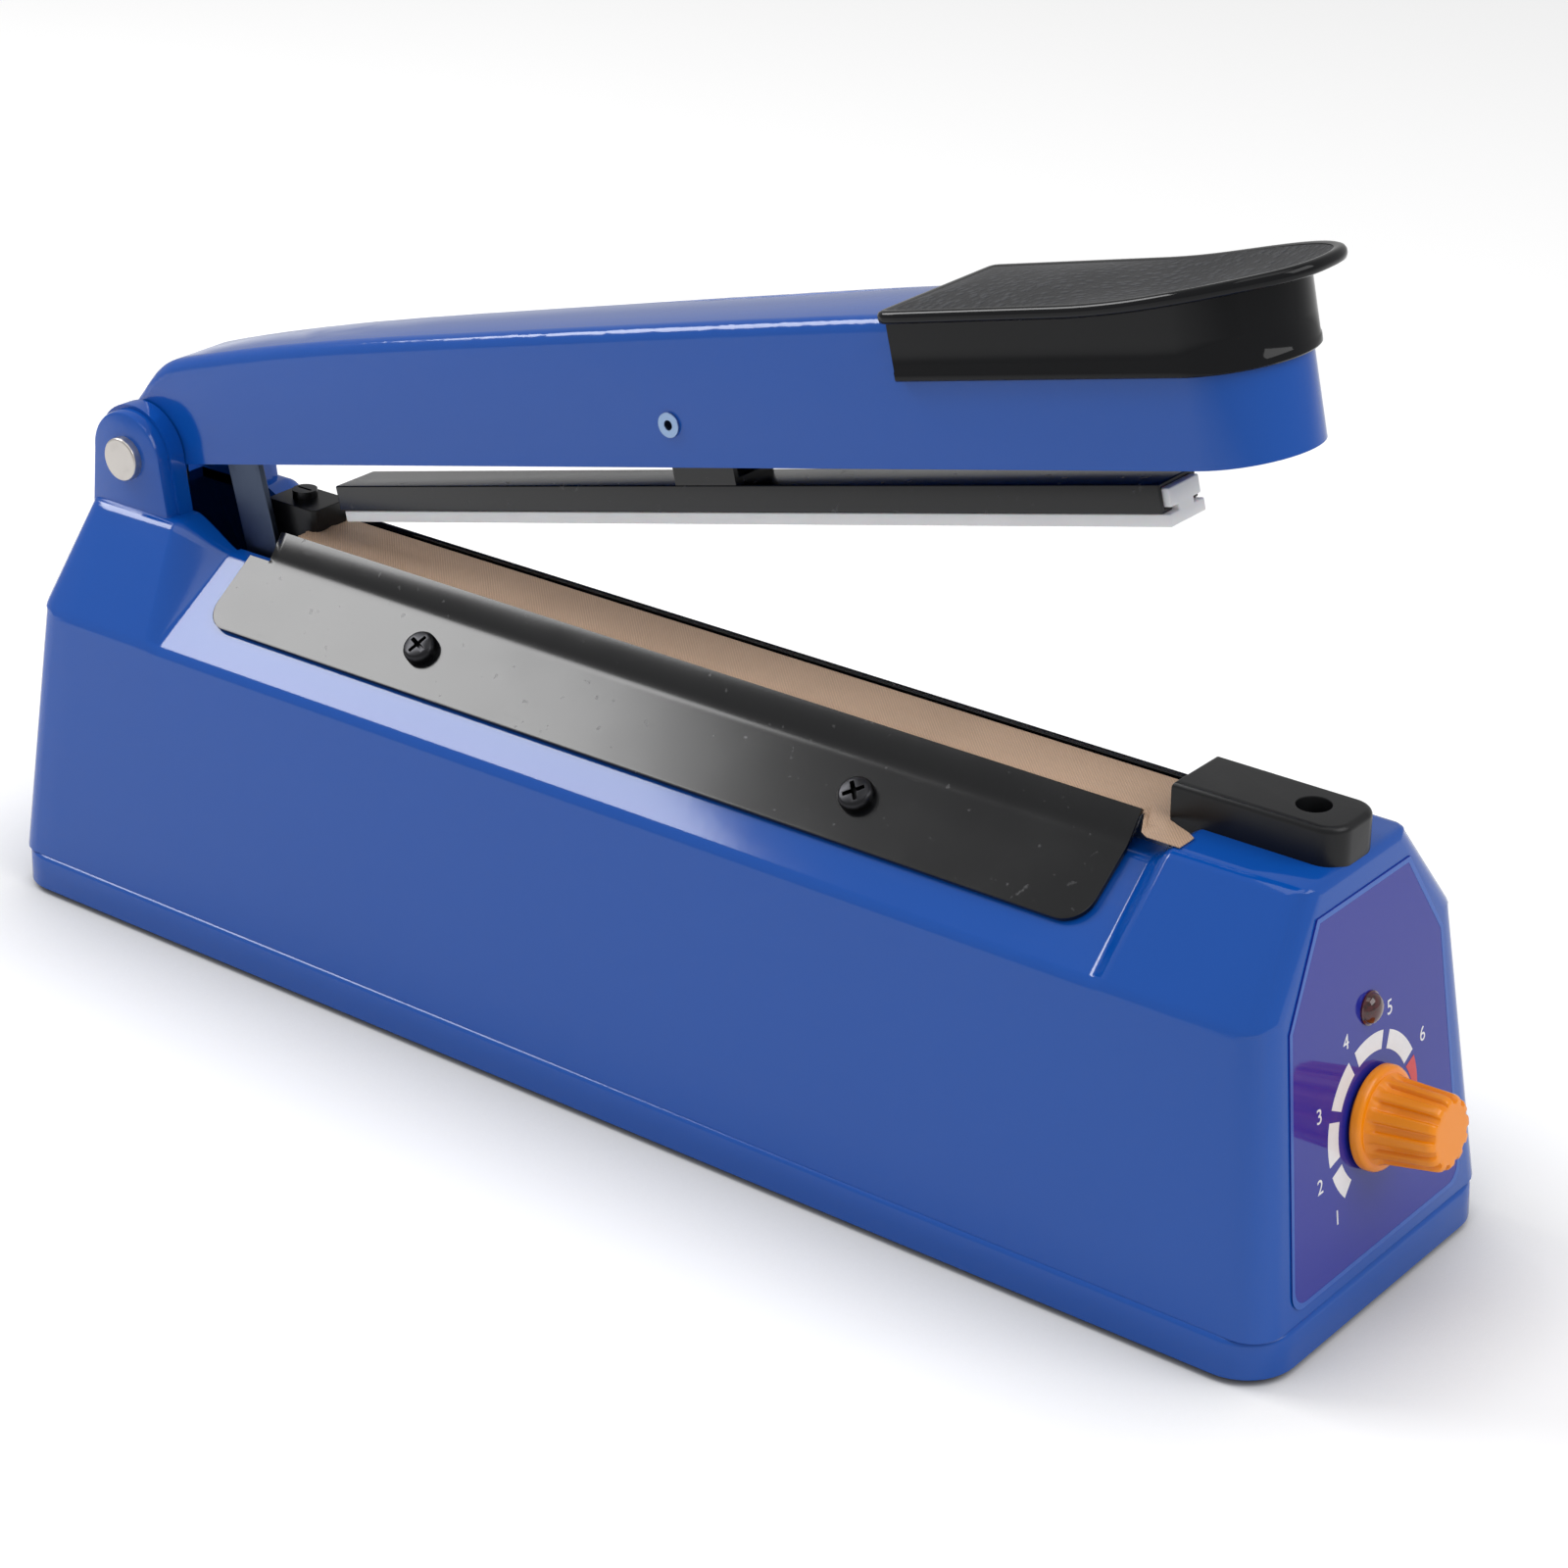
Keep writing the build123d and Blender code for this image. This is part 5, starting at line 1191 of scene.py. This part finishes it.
def build_lamp():
    """The low dome of the indicator lamp, above the dial."""
    mesh = bmesh.new()
    seat = PANEL_TOP + 0.5
    profile = [(3.0, -3.0), (3.0, PANEL_TOP), (3.35, PANEL_TOP), (3.35, PANEL_TOP + 0.35),
               (3.05, seat)]
    profile += [(3.0 * cos(t), seat + 1.9 * sin(t)) for t in (0.2, 0.5, 0.8, 1.1, 1.35, 1.5)]
    bridge(mesh, [circle(r, z, 40, 0.0, LAMP_UP) for r, z in profile])
    piece("lamp_dome", mesh, "lens", "base", END, ("indicator_lamp",), 40)


def build_knob():
    """The fluted timer knob, turned from one profile with grooves round it."""
    start, flange, length, count, flutes = 0.8, 2.4, 16.0, 192, 12
    profile = [(3.1, start), (9.9, start), (10.3, start + 0.4), (10.3, start + flange - 0.8),
               (10.0, start + flange - 0.25), (9.5, start + flange)]
    barrel = [(8.9, flange + 0.05), (8.62, flange + 0.5), (8.5, flange + 1.2), (8.3, 4.4),
              (8.0, 8.0), (7.7, 11.5), (7.45, 14.6), (7.15, 15.4), (6.6, 15.9), (5.9, length)]
    depth = sizes().flute_depth / MM
    rings = [circle(r, z, count) for r, z in profile]
    for r, z in barrel:
        strength = smoothstep((z - flange - 0.4) / 1.6) * smoothstep((16.6 - z) / 1.0)
        ring = []
        for turn in (tau * i / count for i in range(count)):
            wave = 0.5 - 0.5 * cos(flutes * turn)
            q = r - depth * strength * smoothstep((wave - 0.40) / 0.36)
            ring.append(Vector((q * cos(turn), q * sin(turn), start + z)))
        rings.append(ring)
    rings += [circle(r, start + length, count) for r in (5.2, 3.0, 0.6)]
    mesh = bmesh.new()
    bridge(mesh, rings, start=False)
    piece("knob_grip", mesh, "knob", "knob", END, ("timer_knob",), 40)


# ------------------------------------------------------------ carried-over pieces

# Nodes that keep their shape, by finish.
CARRIED = {
    "nickel": ("pin_clip", "return_spring", "spring_post", "strut_rivet", "potentiometer",
               "potentiometer_shaft", "switch_bracket", "transformer_bracket", "switch_screw_1",
               "switch_screw_2"),
    "screw": ("rear_block_screw", "end_cap_screw"),
    "black": ("microswitch", "board_relay", "board_triac"),
    "bar": ("bar_hanger",),
    "aluminium": ("sealing_bed",),
    "ribbon": ("heating_element",),
    "cloth": ("insulation_strip",),
    "tape": ("transformer_coil",),
    "core": ("transformer_core",),
    "board": ("circuit_board",),
    "white": ("terminal_block",),
    "plunger": ("switch_plunger",),
    "sleeve": ("board_capacitor",),
    "wire": tuple(n for n in frame["nodes"] if n.startswith("inside_wire")),
}
# Nodes with eased edges: the new name, finish, body, slot and rounding of each.
EASED = (("arm_shell", "arm_channel", "body", "arm", "blue_housing", 0.3),
         ("hinge_pin", "pivot_pin", "nickel", "base", "plated_steel", 0.0),
         ("bar_rivet", "pivot_rivet", "rivet", "arm", "rivet_steel", 0.12),
         ("switch_strut", "strut_strip", "strut", "arm", "strut_steel", 0.2),
         ("rear_element_block", "element_block", "black", "base", "black_plastic", 0.3),
         ("cord_inlet", "inlet_grommet", "rubber", "base", "black_rubber", 0.5))


def dress_carried():
    """CAD nodes that are right as they are get their finish; a few get eased edges."""
    for row in EASED:
        softened(*row, 20.0)
    for material, nodes in CARRIED.items():
        for node in nodes:
            dress = frame["nodes"][node].data.materials
            while len(dress) > 0:
                dress.pop(index=-1)
            dress.append(MATERIALS[material])


# ------------------------------------------------------------ stage

WORLD_LEVEL, FLOOR_LIFT, CONTACT_REACH = 0.50, 0.19, 0.045
PAPER, PAPER_SHADOW = (0.93, 0.93, 0.93), (0.20, 0.20, 0.21)
# Each light: name, place, target, width, height and strength.
LIGHTS = (("key_box", (-0.865, -0.218, 0.853), (-0.11, -0.03, 0.075), 0.46, 0.46, 8.6),
          ("top_box", (0.10, -0.25, 1.50), (0.0, 0, 0.08), 1.0, 0.8, 1.1),
          ("end_box", (0.98, 0.12, 1.00), (0.16, 0, 0.04), 0.9, 0.8, 2.6))
CAMERA_PLACE, CAMERA_TURN = (0.457115, -0.553061, 0.400752), (radians(64.66), 0, radians(38.371))
LENS, SENSOR = 87.386, 36.0


def soft_box(name, place, target, width, height, strength):
    """One rectangular studio light."""
    lamp = bpy.data.lights.new(name, "AREA")
    lamp.shape = "RECTANGLE"
    lamp.size, lamp.size_y = width, height
    lamp.energy = strength * pi * width * height
    holder = linked(name, lamp)
    holder.location = place
    holder.rotation_euler = (Vector(target) - Vector(place)).to_track_quat("-Z", "Y").to_euler()


def camera_ray(graph):
    return graph.node("ShaderNodeLightPath", output="Is Camera Ray")


def build_stage():
    """Pale floor, soft studio light and the camera."""
    scene = bpy.context.scene
    scene.view_settings.view_transform = "Standard"
    outline = bmesh.new()
    bridge(outline, [rounded_loop(6.0, 6.0, 0.5)], start=False)
    floor = linked("floor", as_data("floor", outline))
    floor.location.z = CAD_BOX[0].z
    paper = Finish("floor_paper", PAPER, 0.9, Specular_IOR_Level=0.0, Emission_Strength=FLOOR_LIFT)
    shown = camera_ray(paper)
    # Ambient occlusion darkens the floor's colour towards PAPER_SHADOW and dims its camera-ray lift
    # near the sealer: a painted contact shadow.
    near = paper.node("ShaderNodeAmbientOcclusion", {}, {"Distance": CONTACT_REACH}, "AO")
    paper.set("Base Color", paper.mix(near, PAPER_SHADOW, PAPER))
    paper.set("Emission Color", paper.mix(shown * near, (0.0, 0.0, 0.0), (1.0, 1.0, 1.0)))
    floor.data.materials.append(paper.material)
    scene.world = world = bpy.data.worlds.new("studio")
    world.use_nodes = True
    graph = Graph(world.node_tree)
    back = next(n for n in world.node_tree.nodes if n.type == "BACKGROUND")
    graph.plug(back.inputs["Color"], (1, 1, 1, 1))
    graph.plug(back.inputs["Strength"], camera_ray(graph) * (1.0 - WORLD_LEVEL) + WORLD_LEVEL)
    for light in LIGHTS:
        soft_box(*light)
    build_camera()


def build_camera():
    """The camera, looking down along the sealer from the timer end."""
    lens = bpy.data.cameras.new("camera")
    lens.sensor_width, lens.lens = SENSOR, LENS
    lens.clip_start, lens.clip_end = 0.01, 50
    holder = linked("camera", lens)
    holder.location, holder.rotation_euler = CAMERA_PLACE, CAMERA_TURN
    bpy.context.scene.camera = holder


# ------------------------------------------------------------ operators

def step_operator(idname, label, words, build):
    """One operator of the add-on that builds one piece or group."""

    def execute(self, context):
        build()
        return {"FINISHED"}

    return type("SEALER_OT_" + idname, (bpy.types.Operator,), {
        "__doc__": words, "bl_idname": "sealer." + idname, "bl_label": label,
        "bl_options": {"REGISTER", "UNDO"}, "execute": execute})


STEPS = [step_operator(*row) for row in (
    ("stage", "Stage", "Make the floor, the lights and the camera", build_stage),
    ("finishes", "Finishes", "Make every material", make_materials),
    ("housing", "Housing", "Build the moulded base", build_housing),
    ("tray", "Plinth tray", "Build the tray under the base", build_tray),
    ("feet", "Feet and cover screws", "Build the feet and screws under the tray",
     build_feet_and_screws),
    ("clamps", "Clamp plates", "Build the plates, their screws and the end cap", build_clamps),
    ("cloth", "Cloth", "Build the non-stick cloth", build_cloth),
    ("handle", "Handle", "Build the handle's skirt, rim and pad", build_handle),
    ("bar", "Pressure bar", "Build the channel and its silicone strip", build_bar),
    ("panel", "Timer panel", "Build the panel, its dial and its numbers", build_panel),
    ("lamp", "Indicator lamp", "Build the dome of the indicator lamp", build_lamp),
    ("knob", "Timer knob", "Build the fluted knob", build_knob),
    ("carried", "Carried pieces", "Dress the pieces that keep their own shape", dress_carried))]


class SEALER_PT_panel(bpy.types.Panel):
    """Lists the steps and the sizes and colours they read."""
    bl_label = "Impulse heat sealer"
    bl_idname = "SEALER_PT_panel"
    bl_space_type = "VIEW_3D"
    bl_region_type = "UI"
    bl_category = "Sealer"

    def draw(self, context):
        for step in STEPS:
            self.layout.operator(step.bl_idname)
        for group in (context.scene.sealer_sizes, context.scene.sealer_colours):
            for name in group.bl_rna.properties.keys():
                if name not in ("rna_type", "name"):
                    self.layout.prop(group, name)


CLASSES = [SealerSizes, SealerColours, *STEPS, SEALER_PT_panel]


def register():
    for kind in CLASSES:
        bpy.utils.register_class(kind)
    bpy.types.Scene.sealer_sizes = PointerProperty(type=SealerSizes)
    bpy.types.Scene.sealer_colours = PointerProperty(type=SealerColours)


def unregister():
    del bpy.types.Scene.sealer_colours
    del bpy.types.Scene.sealer_sizes
    for kind in reversed(CLASSES):
        bpy.utils.unregister_class(kind)


def main():
    register()
    for step in STEPS:
        _, name = step.bl_idname.split(".")
        getattr(bpy.ops.sealer, name)()


if __name__ == "__main__":
    main()
